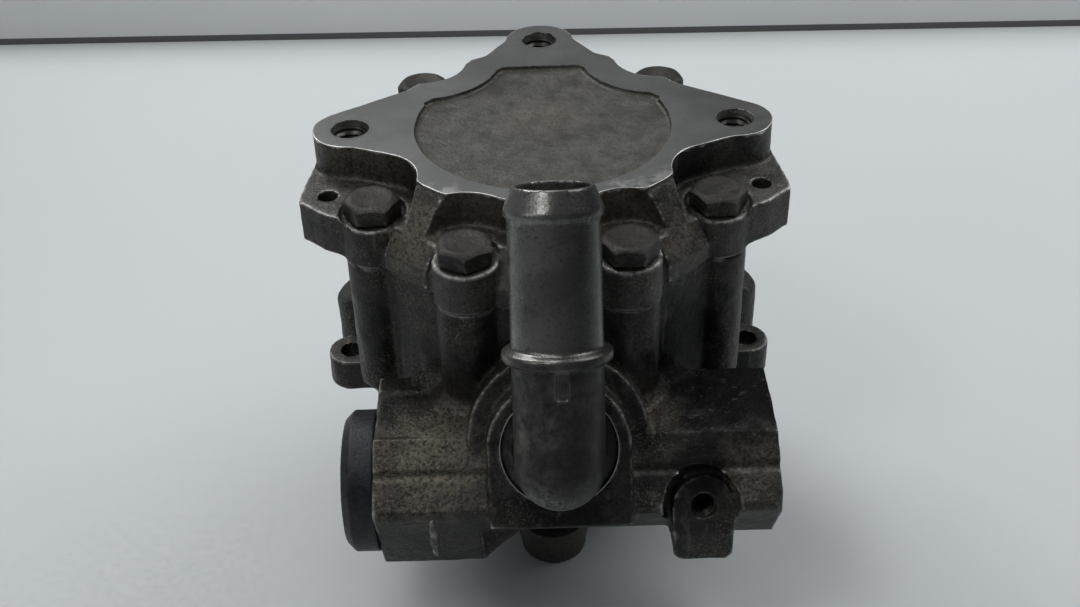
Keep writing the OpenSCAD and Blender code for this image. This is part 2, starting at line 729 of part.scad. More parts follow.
module valve_plug() color("#22252a") on_valve(-block_left) rotate([180, 0, 0]) difference() {
    union() {
        rotate_extrude() polygon([[0, 0], [plug_r, 0], [plug_r, plug_head_l - plug_bevel],
            [plug_r - plug_bevel, plug_head_l],
            [0, plug_head_l]]);
        translate([0, 0, -plug_shank_l]) cylinder(r = plug_shank_r, h = plug_shank_l + eps);
    }
    translate([0, 0, plug_head_l - socket_depth])
        cylinder(d = socket_flats / cos(30), h = socket_depth + eps, $fn = 6);
    translate([0, 0, -plug_shank_l - eps]) cylinder(r = spool_pocket_r, h = plug_pocket_l + eps);
    rotate(-115) translate([plug_r - plug_notch_d, -plug_notch_w / 2, -eps])
        cube([plug_notch_d + eps, plug_notch_w, plug_notch_l]);
    translate([0, 0, -plug_groove_at - plug_groove_w])
        ring(plug_shank_r + eps, plug_shank_r - plug_groove_d, plug_groove_w);
}

module plug_seal() color("#161616") on_valve(-block_left + plug_groove_at + plug_groove_w / 2)
    cord_ring(plug_shank_r - plug_groove_d / 2, plug_groove_d / 2 - face_fit);

module flow_valve_spool() color("#9a9a98") on_valve(spool_left_x) difference() {
    cylinder(r = spool_r, h = spool_l);
    translate([0, 0, -eps]) cylinder(r = spool_pocket_r, h = spool_pocket_l + eps);
    translate([0, 0, spool_pocket_l + 2]) ring(valve_r + eps, spool_r - 2.2, 5);
    translate([0, 0, spool_l - 3]) ring(valve_r + eps, spool_r - 0.6, 0.8);
    translate([0, 0, spool_l - relief_bore_l]) cylinder(r = relief_bore_r, h = relief_bore_l + eps);
    translate([-valve_r, 0, spool_pocket_l + 4.5]) rotate([0, 90, 0]) cylinder(r = 1, h = 2 * valve_r, $fn = 24);
}

module flow_valve_spring() color("#55565a") on_valve(plug_end_x - plug_pocket_l + 0.1)
    coil(spring_r, spring_wire_r, spool_left_x + spool_pocket_l - plug_end_x + plug_pocket_l - 0.2, 8);

module relief_seat() color("#b0a070") on_valve(spool_right_x - relief_seat_l)
    ring(relief_bore_r, relief_hole_r, relief_seat_l - 0.4);

module relief_ball() color("#c8c8c8") on_valve(relief_ball_x) sphere(r = relief_ball_r);

module relief_spring() color("#55565a") on_valve(spool_right_x - relief_bore_l + 0.1)
    coil(relief_coil_r, relief_wire_r, relief_ball_x - relief_ball_r * 0.6 - spool_right_x + relief_bore_l - 0.5,
        5, 6, 16);

// Radius of the cam track at an angle: two lobes a turn
function cam_r(angle) = cam_min_r + cam_lift * (1 - cos(2 * angle)) / 2;

module cam_ring() color("#7d7d7d") translate([0, 0, rotor_z]) difference() {
    cylinder(r = plate_r, h = rotor_w);
    translate([0, 0, -eps]) linear_extrude(rotor_w + 2 * eps)
        polygon([for (angle = [0:4:356]) cam_r(angle) * [cos(angle), sin(angle)]]);
    for (side = [-1, 1]) translate([side * pin_reach, 0, -eps])
        cylinder(r = pin_r + slip_fit, h = rotor_w + 2 * eps);
}

module rotor() color("#8c8c8c") translate([0, 0, rotor_z + face_fit]) difference() {
    cylinder(r = rotor_r, h = rotor_w - 2 * face_fit);
    translate([0, 0, -eps]) cylinder(r = shaft_rotor_r, h = rotor_w + 2 * eps);
    for (vane = [0:vane_count - 1]) rotate(360 * vane / vane_count) {
        translate([vane_root_r - 0.4, -slot_w / 2, -eps]) cube([rotor_r, slot_w, rotor_w + 2 * eps]);
        translate([vane_root_r - 0.4, 0, -eps]) cylinder(r = vane_t * 0.8, h = rotor_w + 2 * eps, $fn = 24);
    }
}

module vanes() color("#a8a8a8") for (vane = [0:vane_count - 1]) rotate(360 * vane / vane_count)
    translate([vane_root_r, -vane_t / 2, rotor_z + face_fit])
        cube([vane_l, vane_t, rotor_w - 2 * face_fit]);

// Plate with shaft hole, pin holes and two kidney-shaped ports
module port_plate(thickness, bore, kidney_turn, pin_from = -eps) difference() {
    cylinder(r = plate_r, h = thickness);
    translate([0, 0, -eps]) cylinder(r = bore, h = thickness + 2 * eps);
    for (side = [-1, 1]) translate([side * pin_reach, 0, pin_from])
        cylinder(r = pin_r + slip_fit, h = thickness + eps - pin_from);
    for (half = [0, 180]) rotate(kidney_turn + half - 20) translate([0, 0, -eps])
        rotate_extrude(angle = 40) translate([rotor_r - 1, 0]) square([3, thickness + 2 * eps]);
}

module front_pressure_plate() color("#77777a") translate([0, 0, front_plate_z]) difference() {
    port_plate(front_plate_t, plate_bore_r, 45, pin_foot);
    translate([0, 0, 1.5]) ring(plate_r + eps, plate_r - 2 * seal_cord_r, 2 * seal_cord_r + 0.3);
}

module rear_side_plate() color("#77777a") translate([0, 0, rear_plate_z])
    port_plate(rear_plate_t, snap_r + 0.8, 135);

module plate_seal() color("#161616") translate([0, 0, front_plate_z + 1.65 + seal_cord_r])
    cord_ring(plate_r - seal_cord_r + 0.02, seal_cord_r - 0.02);

module dowel_pins() color("#b5b5b5") for (side = [-1, 1])
    translate([side * pin_reach, 0, front_plate_z + pin_foot + face_fit])
        cylinder(r = pin_r, h = joint_z + pin_head - front_plate_z - pin_foot - 2 * face_fit);

module rotor_snap_ring() color("#2e2e30") translate([0, 0, rear_plate_z + face_fit]) difference() {
    ring(snap_r, snap_groove_r, snap_t);
    translate([0, -1.5, -eps]) cube([snap_r + 1, 3, snap_t + 2 * eps]);
}

module drive_shaft() color("#9b9b9b") rotate_extrude() polygon([[0, 0.5], [shaft_hub_r - 1, 0.5],
    [shaft_hub_r, 1.5], [shaft_hub_r, nose_z], [shaft_bearing_r, nose_z], [shaft_bearing_r, bearing_z + bearing_w],
    [shaft_seal_r, bearing_z + bearing_w], [shaft_seal_r, web_z + 1], [shaft_rotor_r, web_z + 1],
    [shaft_rotor_r, rear_plate_z + face_fit], [snap_groove_r, rear_plate_z + face_fit],
    [snap_groove_r, rear_plate_z + face_fit + snap_t], [shaft_rotor_r - 0.4, rear_plate_z + face_fit + snap_t],
    [shaft_rotor_r - 0.4, joint_z - 2], [shaft_rear_r, joint_z - 2], [shaft_rear_r, rear_end_z - 1],
    [shaft_rear_r - 1, rear_end_z], [0, rear_end_z]]);

// Pulley flange: three round-ended arms about a boss
module drive_hub() color("#57534c") difference() {
    union() {
        cylinder(r = hub_boss_r, h = hub_boss_h);
        for (arm = [0:2]) rotate(120 * arm - 90) {
            translate([pulley_circle_r, 0, 0]) cylinder(r = hub_arm_r, h = hub_t);
            linear_extrude(hub_t) polygon([[0, hub_boss_r - 1.5], [pulley_circle_r, hub_arm_r],
                [pulley_circle_r, -hub_arm_r], [0, 1.5 - hub_boss_r]]);
        }
    }
    translate([0, 0, -eps]) cylinder(r = shaft_hub_r, h = hub_boss_h + 2 * eps);
    for (arm = [0:2]) rotate(120 * arm - 90) translate([pulley_circle_r, 0, -eps])
        cylinder(r = pulley_hole_r, h = hub_t + 2 * eps);
}

module shaft_seal() color("#1b1b1b") translate([0, 0, seal_z]) rotate_extrude() polygon([
    [shaft_seal_r + run_fit, seal_w - 3], [shaft_seal_r + 1.4, seal_w - 5], [shaft_seal_r + 2.2, 0],
    [shaft_seal_r_out, 0], [shaft_seal_r_out, seal_w], [shaft_seal_r_out - 1.6, seal_w],
    [shaft_seal_r_out - 1.6, 1.4], [shaft_seal_r + 3.4, 1.4], [shaft_seal_r + 2.6, seal_w - 2.2],
    [shaft_seal_r + run_fit, seal_w - 2.2]]);

// Bearing ring with its ball groove
module bearing_ring(r_out, r_in) difference() {
    translate([0, 0, bearing_z]) ring(r_out, r_in, bearing_w);
    translate([0, 0, ball_z]) rotate_extrude() translate([ball_track_r, 0]) circle(r = ball_r + 0.03);
}

module bearing_outer_ring() color("#a3a3a3") bearing_ring(bearing_r, bearing_r - bearing_ring_t);

module bearing_inner_ring() color("#a3a3a3") bearing_ring(shaft_bearing_r + bearing_ring_t, shaft_bearing_r);

// Places children at each ball
module at_balls() {
    for (ball = [0:ball_count - 1]) rotate(360 * ball / ball_count) translate([ball_track_r, 0, ball_z]) children();
}

module bearing_balls() color("#c8c8c8") at_balls() sphere(r = ball_r);

module bearing_cage() color("#8f7a45") difference() {
    translate([0, 0, ball_z - cage_h / 2]) ring(ball_track_r + 1, ball_track_r - 1, cage_h);
    at_balls() sphere(r = ball_r + 0.1);
}

module bearing_circlip() color("#2e2e30") translate([0, 0, circlip_z]) difference() {
    ring(circlip_groove_r - 0.1, bearing_r - 2.2, circlip_t);
    translate([0, -circlip_gap / 2, -eps]) cube([circlip_groove_r + eps, circlip_gap, circlip_t + 2 * eps]);
}

module rear_bush() color("#9c8654") translate([0, 0, joint_z]) ring(bush_r, shaft_rear_r + run_fit, bush_l);

pump_housing();
rear_cover();
cover_bolts();
cover_seal();
suction_pipe();
suction_pipe_seal();
valve_plug();
plug_seal();
flow_valve_spool();
flow_valve_spring();
relief_seat();
relief_ball();
relief_spring();
cam_ring();
rotor();
vanes();
front_pressure_plate();
rear_side_plate();
plate_seal();
dowel_pins();
rotor_snap_ring();
drive_shaft();
drive_hub();
shaft_seal();
bearing_outer_ring();
bearing_inner_ring();
bearing_balls();
bearing_cage();
bearing_circlip();
rear_bush();
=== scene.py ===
"""Studio scene of a power steering pump.

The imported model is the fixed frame. The visible castings are rebuilt from its solids with rounded cast
edges and a sand-cast skin, the bolts and threads come from Geometry Nodes, and every piece has a
procedural finish. Sizes are in millimetres in the part's frame: origin at the centre of the hub's lower
face, Z up the shaft, -Y towards the suction port, X along the flow valve.
"""

import json
import logging
import math
from dataclasses import dataclass, field
from enum import Enum, IntEnum
from typing import Any, Callable, Sequence

import bmesh
import bpy
import numpy as np
from mathutils import Matrix, Vector, noise

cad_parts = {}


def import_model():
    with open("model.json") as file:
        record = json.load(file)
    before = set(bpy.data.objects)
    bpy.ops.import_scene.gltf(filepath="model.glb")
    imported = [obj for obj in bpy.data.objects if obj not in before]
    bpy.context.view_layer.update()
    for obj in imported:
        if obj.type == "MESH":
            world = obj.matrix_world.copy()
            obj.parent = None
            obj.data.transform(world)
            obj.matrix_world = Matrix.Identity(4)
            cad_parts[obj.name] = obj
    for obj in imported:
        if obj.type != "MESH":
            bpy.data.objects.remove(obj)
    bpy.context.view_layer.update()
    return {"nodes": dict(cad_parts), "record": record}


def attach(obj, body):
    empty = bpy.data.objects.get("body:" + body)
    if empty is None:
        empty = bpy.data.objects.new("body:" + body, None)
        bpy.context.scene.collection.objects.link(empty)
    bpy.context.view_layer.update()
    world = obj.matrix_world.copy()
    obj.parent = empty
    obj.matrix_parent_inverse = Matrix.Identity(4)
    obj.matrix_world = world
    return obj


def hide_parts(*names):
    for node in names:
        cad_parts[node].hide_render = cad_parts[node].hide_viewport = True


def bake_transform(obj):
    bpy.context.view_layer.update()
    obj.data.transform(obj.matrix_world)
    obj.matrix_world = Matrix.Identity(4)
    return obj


LOG = logging.getLogger("pump")
MM = 0.001
TINY = 1e-6
WELD_MM = 0.002
HOLE_PROUD_MM = 0.02
THREAD_CLEAR_MM = 0.03

# A band is where a fade starts and ends. A weave is a noise's features per millimetre, octaves and roughness.
Colour = tuple[float, float, float]
Triple = tuple[float, float, float]
Band = tuple[float, float]
Weave = tuple[float, float, float]
Mesh = bpy.types.Mesh
Piece = bpy.types.Object
Finish = bpy.types.Material
Socket = bpy.types.NodeSocket
Nodes = dict[str, Piece]

CENTRE: Triple = (0.0, 0.0, 0.0)
RIGHT: Triple = (1.0, 0.0, 0.0)
UP: Triple = (0.0, 0.0, 1.0)
DOWN: Triple = (0.0, 0.0, -1.0)


class Body(Enum):
    """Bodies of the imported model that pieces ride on."""

    HOUSING = "housing"
    ROTOR = "rotor_group"
    SPOOL = "spool"
    RELIEF = "relief"


class Slot(Enum):
    """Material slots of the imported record."""

    CAST_HOUSING = "cast_housing"
    CAST_COVER = "cast_cover"
    PIPE_ALLOY = "pipe_alloy"
    DARK_PLUG = "dark_plug"
    BOLT_STEEL = "bolt_steel"
    HUB_STEEL = "hub_steel"
    BRIGHT_STEEL = "bright_steel"
    SINTERED_PLATE = "sintered_plate"
    BEARING_BRASS = "bearing_brass"
    SEAL_RUBBER = "seal_rubber"


class CoverFace(IntEnum):
    """Faces of the cover, in the order of its finishes."""

    CAST = 0
    MILLED = 1
    SUNK = 2


class NodeBoard:
    """A node tree, with short calls that add nodes to it."""

    tree: bpy.types.NodeTree

    def feed(self, socket: Socket, value: Any) -> None:
        """Links a socket to an input, or sets a plain value on it.

        Args:
            socket: Input socket.
            value: Output socket, number, colour or other plain value.
        """
        if isinstance(value, Socket):
            self.tree.links.new(value, socket)
        elif socket.type == "RGBA":
            socket.default_value = (*value, 1.0)
        else:
            socket.default_value = value

    def add(self, kind: str, values: dict[Any, Any] | None = None, **settings: Any) -> bpy.types.Node:
        """Adds a node.

        Args:
            kind: Node type.
            values: Input values or sockets, by name or number.
            settings: Properties of the node.

        Returns:
            The node.
        """
        node = self.tree.nodes.new(kind)
        for key, value in settings.items():
            setattr(node, key, value)
        for key, value in (values or {}).items():
            self.feed(node.inputs[key], value)
        return node

    def math(self, operation: str, first: Any, second: Any = 0.0, clamp: bool = False) -> Socket:
        """Returns the result of a Math node."""
        values = {0: first, 1: second}
        return self.add("ShaderNodeMath", values, operation=operation, use_clamp=clamp).outputs[0]

    def times(self, first: Any, second: Any, clamp: bool = False) -> Socket:
        """Returns a product."""
        return self.math("MULTIPLY", first, second, clamp)


class NodeSheet(NodeBoard):
    """A material's node tree, with short calls for the nodes that the finishes share."""

    noise_range: Band = (0.3, 0.7)
    ragged: Weave = (0.22, 5.0, 0.65)
    ragged_reach: float = 1.3
    patch_core: float = 0.35

    def __init__(self, name: str) -> None:
        """Starts a material with one Principled shader.

        Args:
            name: Name of the material.
        """
        self.material = bpy.data.materials.new(name)
        self.material.use_nodes = True
        self.tree = self.material.node_tree
        self.tree.nodes.clear()
        output = self.add("ShaderNodeOutputMaterial")
        self.shader = self.add("ShaderNodeBsdfPrincipled")
        self.feed(output.inputs["Surface"], self.shader.outputs["BSDF"])
        metres = self.add("ShaderNodeTexCoord").outputs["Object"]
        self.place = self.vector("SCALE", {0: metres, "Scale": 1 / MM})

    def vector(self, operation: str, values: dict[Any, Any], result: str = "Vector") -> Socket:
        """Returns a result of a Vector Math node."""
        return self.add("ShaderNodeVectorMath", values, operation=operation).outputs[result]

    def noise(self, per_mm: float, detail: float, rough: float, place: Socket | None = None) -> Socket:
        """Returns fractal noise.

        Args:
            per_mm: Features per millimetre.
            detail: Octaves.
            rough: Share of the finer octaves.
            place: Coordinates, the part's millimetres by default.

        Returns:
            Noise between 0 and 1.
        """
        values = {"Scale": per_mm, "Detail": detail, "Roughness": rough, "Vector": place or self.place}
        return self.add("ShaderNodeTexNoise", values).outputs["Fac"]

    def cells(self, per_mm: float) -> Socket:
        """Returns the distance to scattered points, for pits."""
        return self.add("ShaderNodeTexVoronoi", {"Scale": per_mm, "Vector": self.place}).outputs["Distance"]

    def stretched(self, scale: Triple, turn: Triple = CENTRE) -> Socket:
        """Returns the part's millimetres turned and stretched.

        Args:
            scale: Scale along each axis after the turn.
            turn: Euler angles in degrees.

        Returns:
            Coordinates.
        """
        values = {"Rotation": [math.radians(angle) for angle in turn],
                  "Scale": [1 / share for share in scale], "Vector": self.place}
        return self.add("ShaderNodeMapping", values, vector_type="TEXTURE").outputs["Vector"]

    def along(self, direction: Triple, start: Triple) -> Socket:
        """Returns the distance in millimetres along a direction from a start point."""
        offset = self.vector("SUBTRACT", {0: self.place, 1: start})
        return self.vector("DOT_PRODUCT", {0: offset, 1: direction}, "Value")

    def near(self, patch: "Patch") -> Socket:
        """Returns a ragged blob that fades from a patch's share at its centre to 0 at its rim.

        Args:
            patch: Place, size and share of the blob.

        Returns:
            Share between 0 and the patch's own.
        """
        reach = self.vector("DISTANCE", {0: self.place, 1: patch.centre}, "Value")
        wander = self.ragged_reach * patch.radius
        values = {0: self.noise(*self.ragged), 1: wander, 2: -wander / 2}
        ragged = self.add("ShaderNodeMath", values, operation="MULTIPLY_ADD").outputs[0]
        distance = self.math("ADD", reach, ragged)
        return self.times(self.fade(distance, patch.radius, self.patch_core * patch.radius), patch.share)

    def attribute(self, name: str) -> Socket:
        """Returns a number stored on the mesh's points."""
        return self.add("ShaderNodeAttribute", attribute_name=name).outputs["Fac"]

    def fade(self, value: Any, low: float, high: float) -> Socket:
        """Returns a smooth step from 0 at low to 1 at high."""
        values = {"Value": value, "From Min": low, "From Max": high}
        return self.add("ShaderNodeMapRange", values, interpolation_type="SMOOTHSTEP").outputs["Result"]

    def spread(self, value: Any, low: float = 0.0, high: float = 1.0) -> Socket:
        """Returns noise stretched to run from low to high."""
        values = {"Value": value, "From Min": self.noise_range[0], "From Max": self.noise_range[1],
                  "To Min": low, "To Max": high}
        return self.add("ShaderNodeMapRange", values).outputs["Result"]

    def rest(self, share: Any) -> Socket:
        """Returns what a share leaves of one."""
        return self.math("SUBTRACT", 1.0, share, True)

    def weigh(self, first: Any, second: Any, share: float) -> Socket:
        """Returns two numbers mixed, the second one by its share."""
        return self.math("ADD", self.times(first, 1 - share), self.times(second, share))

    def mix(self, share: Any, first: Any, second: Any) -> Socket:
        """Returns a blend of two colours."""
        return self.add("ShaderNodeMix", {"Factor": share, 6: first, 7: second}, data_type="RGBA").outputs[2]

    def bump(self, height: Any, depth_mm: float, under: Socket | None = None) -> Socket:
        """Returns a bumped normal.

        Args:
            height: Height between 0 and 1.
            depth_mm: Depth of the relief.
            under: Normal to bump on.

        Returns:
            Normal.
        """
        values = {"Distance": depth_mm * MM, "Strength": 1.0, "Height": height}
        if under is not None:
            values["Normal"] = under
        return self.add("ShaderNodeBump", values).outputs["Normal"]

    def finish(self, colour: Any, rough: Any, metal: float, normal: Any) -> Finish:
        """Feeds the shader and returns the material.

        Args:
            colour: Base colour.
            rough: Roughness.
            metal: Metallic share.
            normal: Bumped normal.

        Returns:
            The finished material.
        """
        values = {"Base Color": colour, "Roughness": rough, "Metallic": metal, "Normal": normal}
        for name, value in values.items():
            self.feed(self.shader.inputs[name], value)
        return self.material


@dataclass(frozen=True)
class Patch:
    """Round spot of a piece where oil or dust lies, or where it is rubbed to bright metal; some spots are
    painted shade, painted light or painted highlights.
    """

    centre: Triple
    radius: float
    share: float


@dataclass(frozen=True)
class CastSkin:
    """Sand-cast aluminium, oily in its flats, gritty in its corners and rubbed bright on its edges; some of
    its oily patches are painted shade and some of its dusty patches painted light.
    """

    name: str
    dark: Colour = (0.022, 0.0215, 0.020)
    light: Colour = (0.066, 0.064, 0.059)
    oil: Colour = (0.009, 0.009, 0.0095)
    grit: Colour = (0.165, 0.147, 0.112)
    rubbed: Colour = (0.43, 0.43, 0.41)
    oily: tuple[Patch, ...] = ()
    dusty: tuple[Patch, ...] = ()
    metal: float = 0.5
    gloss: float = 0.3
    grain_mm: float = 0.2
    mottle_mm: float = 0.35
    oil_share: float = 0.7
    grit_share: float = 0.8
    speck_share: float = 0.7
    spot_share: float = 0.6
    streak_share: float = 0.10
    pit_share: float = 0.25
    grit_floor: float = 0.35
    grit_rough: float = 0.3
    shine: float = 0.2
    soak_dulling: float = 0.85
    blotch: Weave = (0.045, 5.0, 0.6)
    mottle: Weave = (0.28, 6.0, 0.62)
    grain: Weave = (1.4, 5.0, 0.65)
    fine: Weave = (2.1, 3.0, 0.6)
    cluster: Weave = (0.10, 4.0, 0.6)
    streak: Weave = (0.5, 4.0, 0.6)
    streak_stretch: Triple = (1.0, 1.0, 0.14)
    pits_per_mm: float = 0.9
    oil_band: Band = (0.46, 0.66)
    corner_band: Band = (0.02, 0.16)
    loose_band: Band = (0.47, 0.62)
    grit_band: Band = (0.42, 0.62)
    cluster_band: Band = (0.46, 0.60)
    speck_band: Band = (0.55, 0.63)
    spot_band: Band = (0.46, 0.38)
    dusty_band: Band = (0.36, 0.58)
    streak_band: Band = (0.58, 0.72)
    edge_band: Band = (0.06, 0.22)
    broken_band: Band = (0.38, 0.56)
    rough_band: Band = (0.40, 0.58)
    pit_band: Band = (0.05, 0.30)

    def make(self) -> Finish:
        """Returns the finish as a material."""
        sheet = NodeSheet(self.name)
        mottle = sheet.noise(*self.mottle)
        grain = sheet.noise(*self.grain)
        oily = sheet.times(sheet.fade(sheet.noise(*self.blotch), *self.oil_band), self.oil_share)
        gritty = self._gritty(sheet, mottle, grain)
        colour = sheet.mix(sheet.spread(mottle), self.dark, self.light)
        colour = sheet.mix(oily, colour, self.oil)
        colour = sheet.mix(gritty, colour, self.grit)
        colour = self._speckled(sheet, colour)
        # Dusty patches hold dust, and some of them are painted light on faces that lie in shade.
        for patch in self.dusty:
            dust_and_light = sheet.times(sheet.near(patch), sheet.fade(grain, *self.dusty_band))
            colour = sheet.mix(dust_and_light, colour, self.grit)
        # Oily patches hold oil, and some of them are painted shade where a shadow falls.
        oil_and_shade = 0.0
        for patch in self.oily:
            oil_and_shade = sheet.math("MAXIMUM", sheet.near(patch), oil_and_shade)
        colour = sheet.mix(oil_and_shade, colour, self.oil)
        streak = sheet.noise(*self.streak, sheet.stretched(self.streak_stretch))
        scuff_and_highlight = sheet.times(sheet.fade(streak, *self.streak_band), self.streak_share)
        colour = sheet.mix(scuff_and_highlight, colour, self.rubbed)
        edge = sheet.fade(sheet.attribute("wear"), *self.edge_band)
        rub = sheet.times(edge, sheet.fade(mottle, *self.broken_band))
        rub = sheet.times(rub, sheet.rest(oil_and_shade))
        colour = sheet.mix(rub, colour, self.rubbed)
        dull = sheet.math("ADD", sheet.spread(mottle, *self.rough_band), sheet.times(gritty, self.grit_rough))
        shine = sheet.math("MAXIMUM", sheet.times(rub, self.shine), sheet.times(oily, self.shine))
        rough = sheet.math("SUBTRACT", dull, shine, True)
        pits = sheet.fade(sheet.cells(self.pits_per_mm), *self.pit_band)
        normal = sheet.bump(sheet.weigh(grain, pits, self.pit_share), self.grain_mm)
        normal = sheet.bump(mottle, self.mottle_mm, normal)
        dulled = sheet.rest(sheet.times(oil_and_shade, self.soak_dulling))
        sheet.feed(sheet.shader.inputs["Specular IOR Level"], sheet.times(dulled, self.gloss))
        return sheet.finish(colour, rough, self.metal, normal)

    def _gritty(self, sheet: NodeSheet, mottle: Socket, grain: Socket) -> Socket:
        """Returns how much grit lies in the corners."""
        corner = sheet.fade(sheet.attribute("grime"), *self.corner_band)
        loose = sheet.math("ADD", sheet.fade(mottle, *self.loose_band), self.grit_floor)
        dust = sheet.times(sheet.fade(grain, *self.grit_band), self.grit_share)
        return sheet.times(dust, sheet.times(corner, loose), True)

    def _speckled(self, sheet: NodeSheet, colour: Socket) -> Socket:
        """Returns a colour with clustered pale specks and dark spots."""
        fine = sheet.noise(*self.fine)
        cluster = sheet.fade(sheet.noise(*self.cluster), *self.cluster_band)
        specked = sheet.times(sheet.fade(fine, *self.speck_band), sheet.times(cluster, self.speck_share))
        colour = sheet.mix(specked, colour, self.grit)
        spots = sheet.times(sheet.fade(fine, *self.spot_band), self.spot_share)
        return sheet.mix(spots, colour, self.oil)


@dataclass(frozen=True)
class MilledFace:
    """Milled aluminium gone dull, with faint cutter marks, stains and places rubbed to bright metal that also
    serve as painted highlights.
    """

    name: str
    rubbed: tuple[Patch, ...] = ()
    dark: Colour = (0.090, 0.093, 0.091)
    light: Colour = (0.172, 0.176, 0.174)
    stain: Colour = (0.085, 0.079, 0.066)
    polished_glint: Colour = (0.46, 0.465, 0.455)
    metal: float = 0.85
    grain_mm: float = 0.03
    stain_share: float = 0.35
    mark_share: float = 0.4
    grain_share: float = 0.4
    cloud: Weave = (0.06, 4.0, 0.55)
    mottle: Weave = (0.5, 5.0, 0.6)
    marks: Weave = (1.0, 3.0, 0.5)
    grain: Weave = (2.2, 3.0, 0.5)
    mark_stretch: Triple = (0.06, 1.6, 1.0)
    mark_turn: Triple = (0.0, 0.0, 24.0)
    tone_band: Band = (0.1, 0.9)
    stain_band: Band = (0.52, 0.72)
    glint_band: Band = (0.40, 0.60)
    rough_band: Band = (0.30, 0.46)

    def make(self) -> Finish:
        """Returns the finish as a material."""
        sheet = NodeSheet(self.name)
        mottle = sheet.noise(*self.mottle)
        marks = sheet.noise(*self.marks, sheet.stretched(self.mark_stretch, self.mark_turn))
        grain = sheet.noise(*self.grain)
        tone = sheet.spread(sheet.noise(*self.cloud), *self.tone_band)
        colour = sheet.mix(tone, self.dark, self.light)
        stained = sheet.times(sheet.fade(mottle, *self.stain_band), self.stain_share)
        colour = sheet.mix(stained, colour, self.stain)
        # The rubbed spots are worn bright metal and also painted highlights near the plateau's front.
        for patch in self.rubbed:
            bare_and_glint = sheet.times(sheet.near(patch), sheet.fade(mottle, *self.glint_band))
            colour = sheet.mix(bare_and_glint, colour, self.polished_glint)
        rough = sheet.spread(sheet.weigh(mottle, marks, self.mark_share), *self.rough_band)
        normal = sheet.bump(sheet.weigh(marks, grain, self.grain_share), self.grain_mm)
        return sheet.finish(colour, rough, self.metal, normal)


@dataclass(frozen=True)
class ElbowAlloy:
    """Cast elbow alloy: turned and satin above the hose collar, as cast and stained below it, with painted
    shade darkening its right side and a painted highlight on the bend's lower left.
    """

    name: str
    start: Triple
    direction: Triple
    turned_from: float
    bend_highlight: Patch
    bright: Colour = (0.215, 0.218, 0.210)
    cast: Colour = (0.170, 0.168, 0.157)
    stain: Colour = (0.026, 0.0255, 0.024)
    scuff_and_highlight: Colour = (0.34, 0.335, 0.32)
    rubbed: Colour = (0.66, 0.66, 0.65)
    metal: float = 0.7
    grain_mm: float = 0.06
    ring_mm: float = 0.012
    rings_per_mm: float = 3.0
    turned_fade: float = 1.0
    turned_shine: float = 0.12
    satin_stain: float = 0.35
    lower_stain: float = 0.6
    pit_share: float = 0.6
    edge_share: float = 0.7
    right_shade_share: float = 0.78
    right_shade_band: Band = (-3.0, 6.0)
    cloud: Weave = (0.09, 5.0, 0.6)
    mottle: Weave = (0.45, 6.0, 0.65)
    grain: Weave = (1.6, 4.0, 0.6)
    satin_tones: Band = (0.0, 0.7)
    satin_band: Band = (0.46, 0.64)
    lower_band: Band = (0.45, 0.62)
    highlight_band: Band = (0.40, 0.62)
    pit_band: Band = (0.42, 0.34)
    edge_band: Band = (0.10, 0.30)
    rough_band: Band = (0.32, 0.46)

    def make(self) -> Finish:
        """Returns the finish as a material."""
        sheet = NodeSheet(self.name)
        height = sheet.along(self.direction, self.start)
        turned = sheet.fade(height, self.turned_from - self.turned_fade, self.turned_from + self.turned_fade)
        cloud = sheet.noise(*self.cloud)
        mottle = sheet.noise(*self.mottle)
        grain = sheet.noise(*self.grain)
        satin = sheet.mix(sheet.spread(mottle, *self.satin_tones), self.bright, self.cast)
        stained = sheet.times(sheet.fade(cloud, *self.satin_band), self.satin_stain)
        satin = sheet.mix(stained, satin, self.stain)
        lower = sheet.mix(sheet.spread(mottle), self.cast, self.stain)
        stained = sheet.times(sheet.fade(cloud, *self.lower_band), self.lower_stain)
        lower = sheet.mix(stained, lower, self.stain)
        # Painted highlight: a pale patch on the bend's lower left, broken up by grain.
        highlit = sheet.times(sheet.near(self.bend_highlight), sheet.fade(grain, *self.highlight_band))
        lower = sheet.mix(highlit, lower, self.scuff_and_highlight)
        colour = sheet.mix(turned, lower, satin)
        pitted = sheet.times(sheet.fade(grain, *self.pit_band), self.pit_share)
        colour = sheet.mix(pitted, colour, self.stain)
        # Painted shade: the elbow darkens towards its right side, mixed to the stain tone.
        right_shade = sheet.times(sheet.fade(sheet.along(RIGHT, self.start), *self.right_shade_band), self.right_shade_share)
        colour = sheet.mix(right_shade, colour, self.stain)
        edge = sheet.times(sheet.fade(sheet.attribute("wear"), *self.edge_band), self.edge_share)
        colour = sheet.mix(edge, colour, self.rubbed)
        shine = sheet.times(turned, self.turned_shine)
        rough = sheet.math("SUBTRACT", sheet.spread(mottle, *self.rough_band), shine)
        values = {"Scale": self.rings_per_mm, "W": height}
        rings = sheet.add("ShaderNodeTexNoise", values, noise_dimensions="1D").outputs["Fac"]
        normal = sheet.bump(grain, self.grain_mm)
        normal = sheet.bump(sheet.times(rings, turned), self.ring_mm, normal)
        return sheet.finish(colour, rough, self.metal, normal)


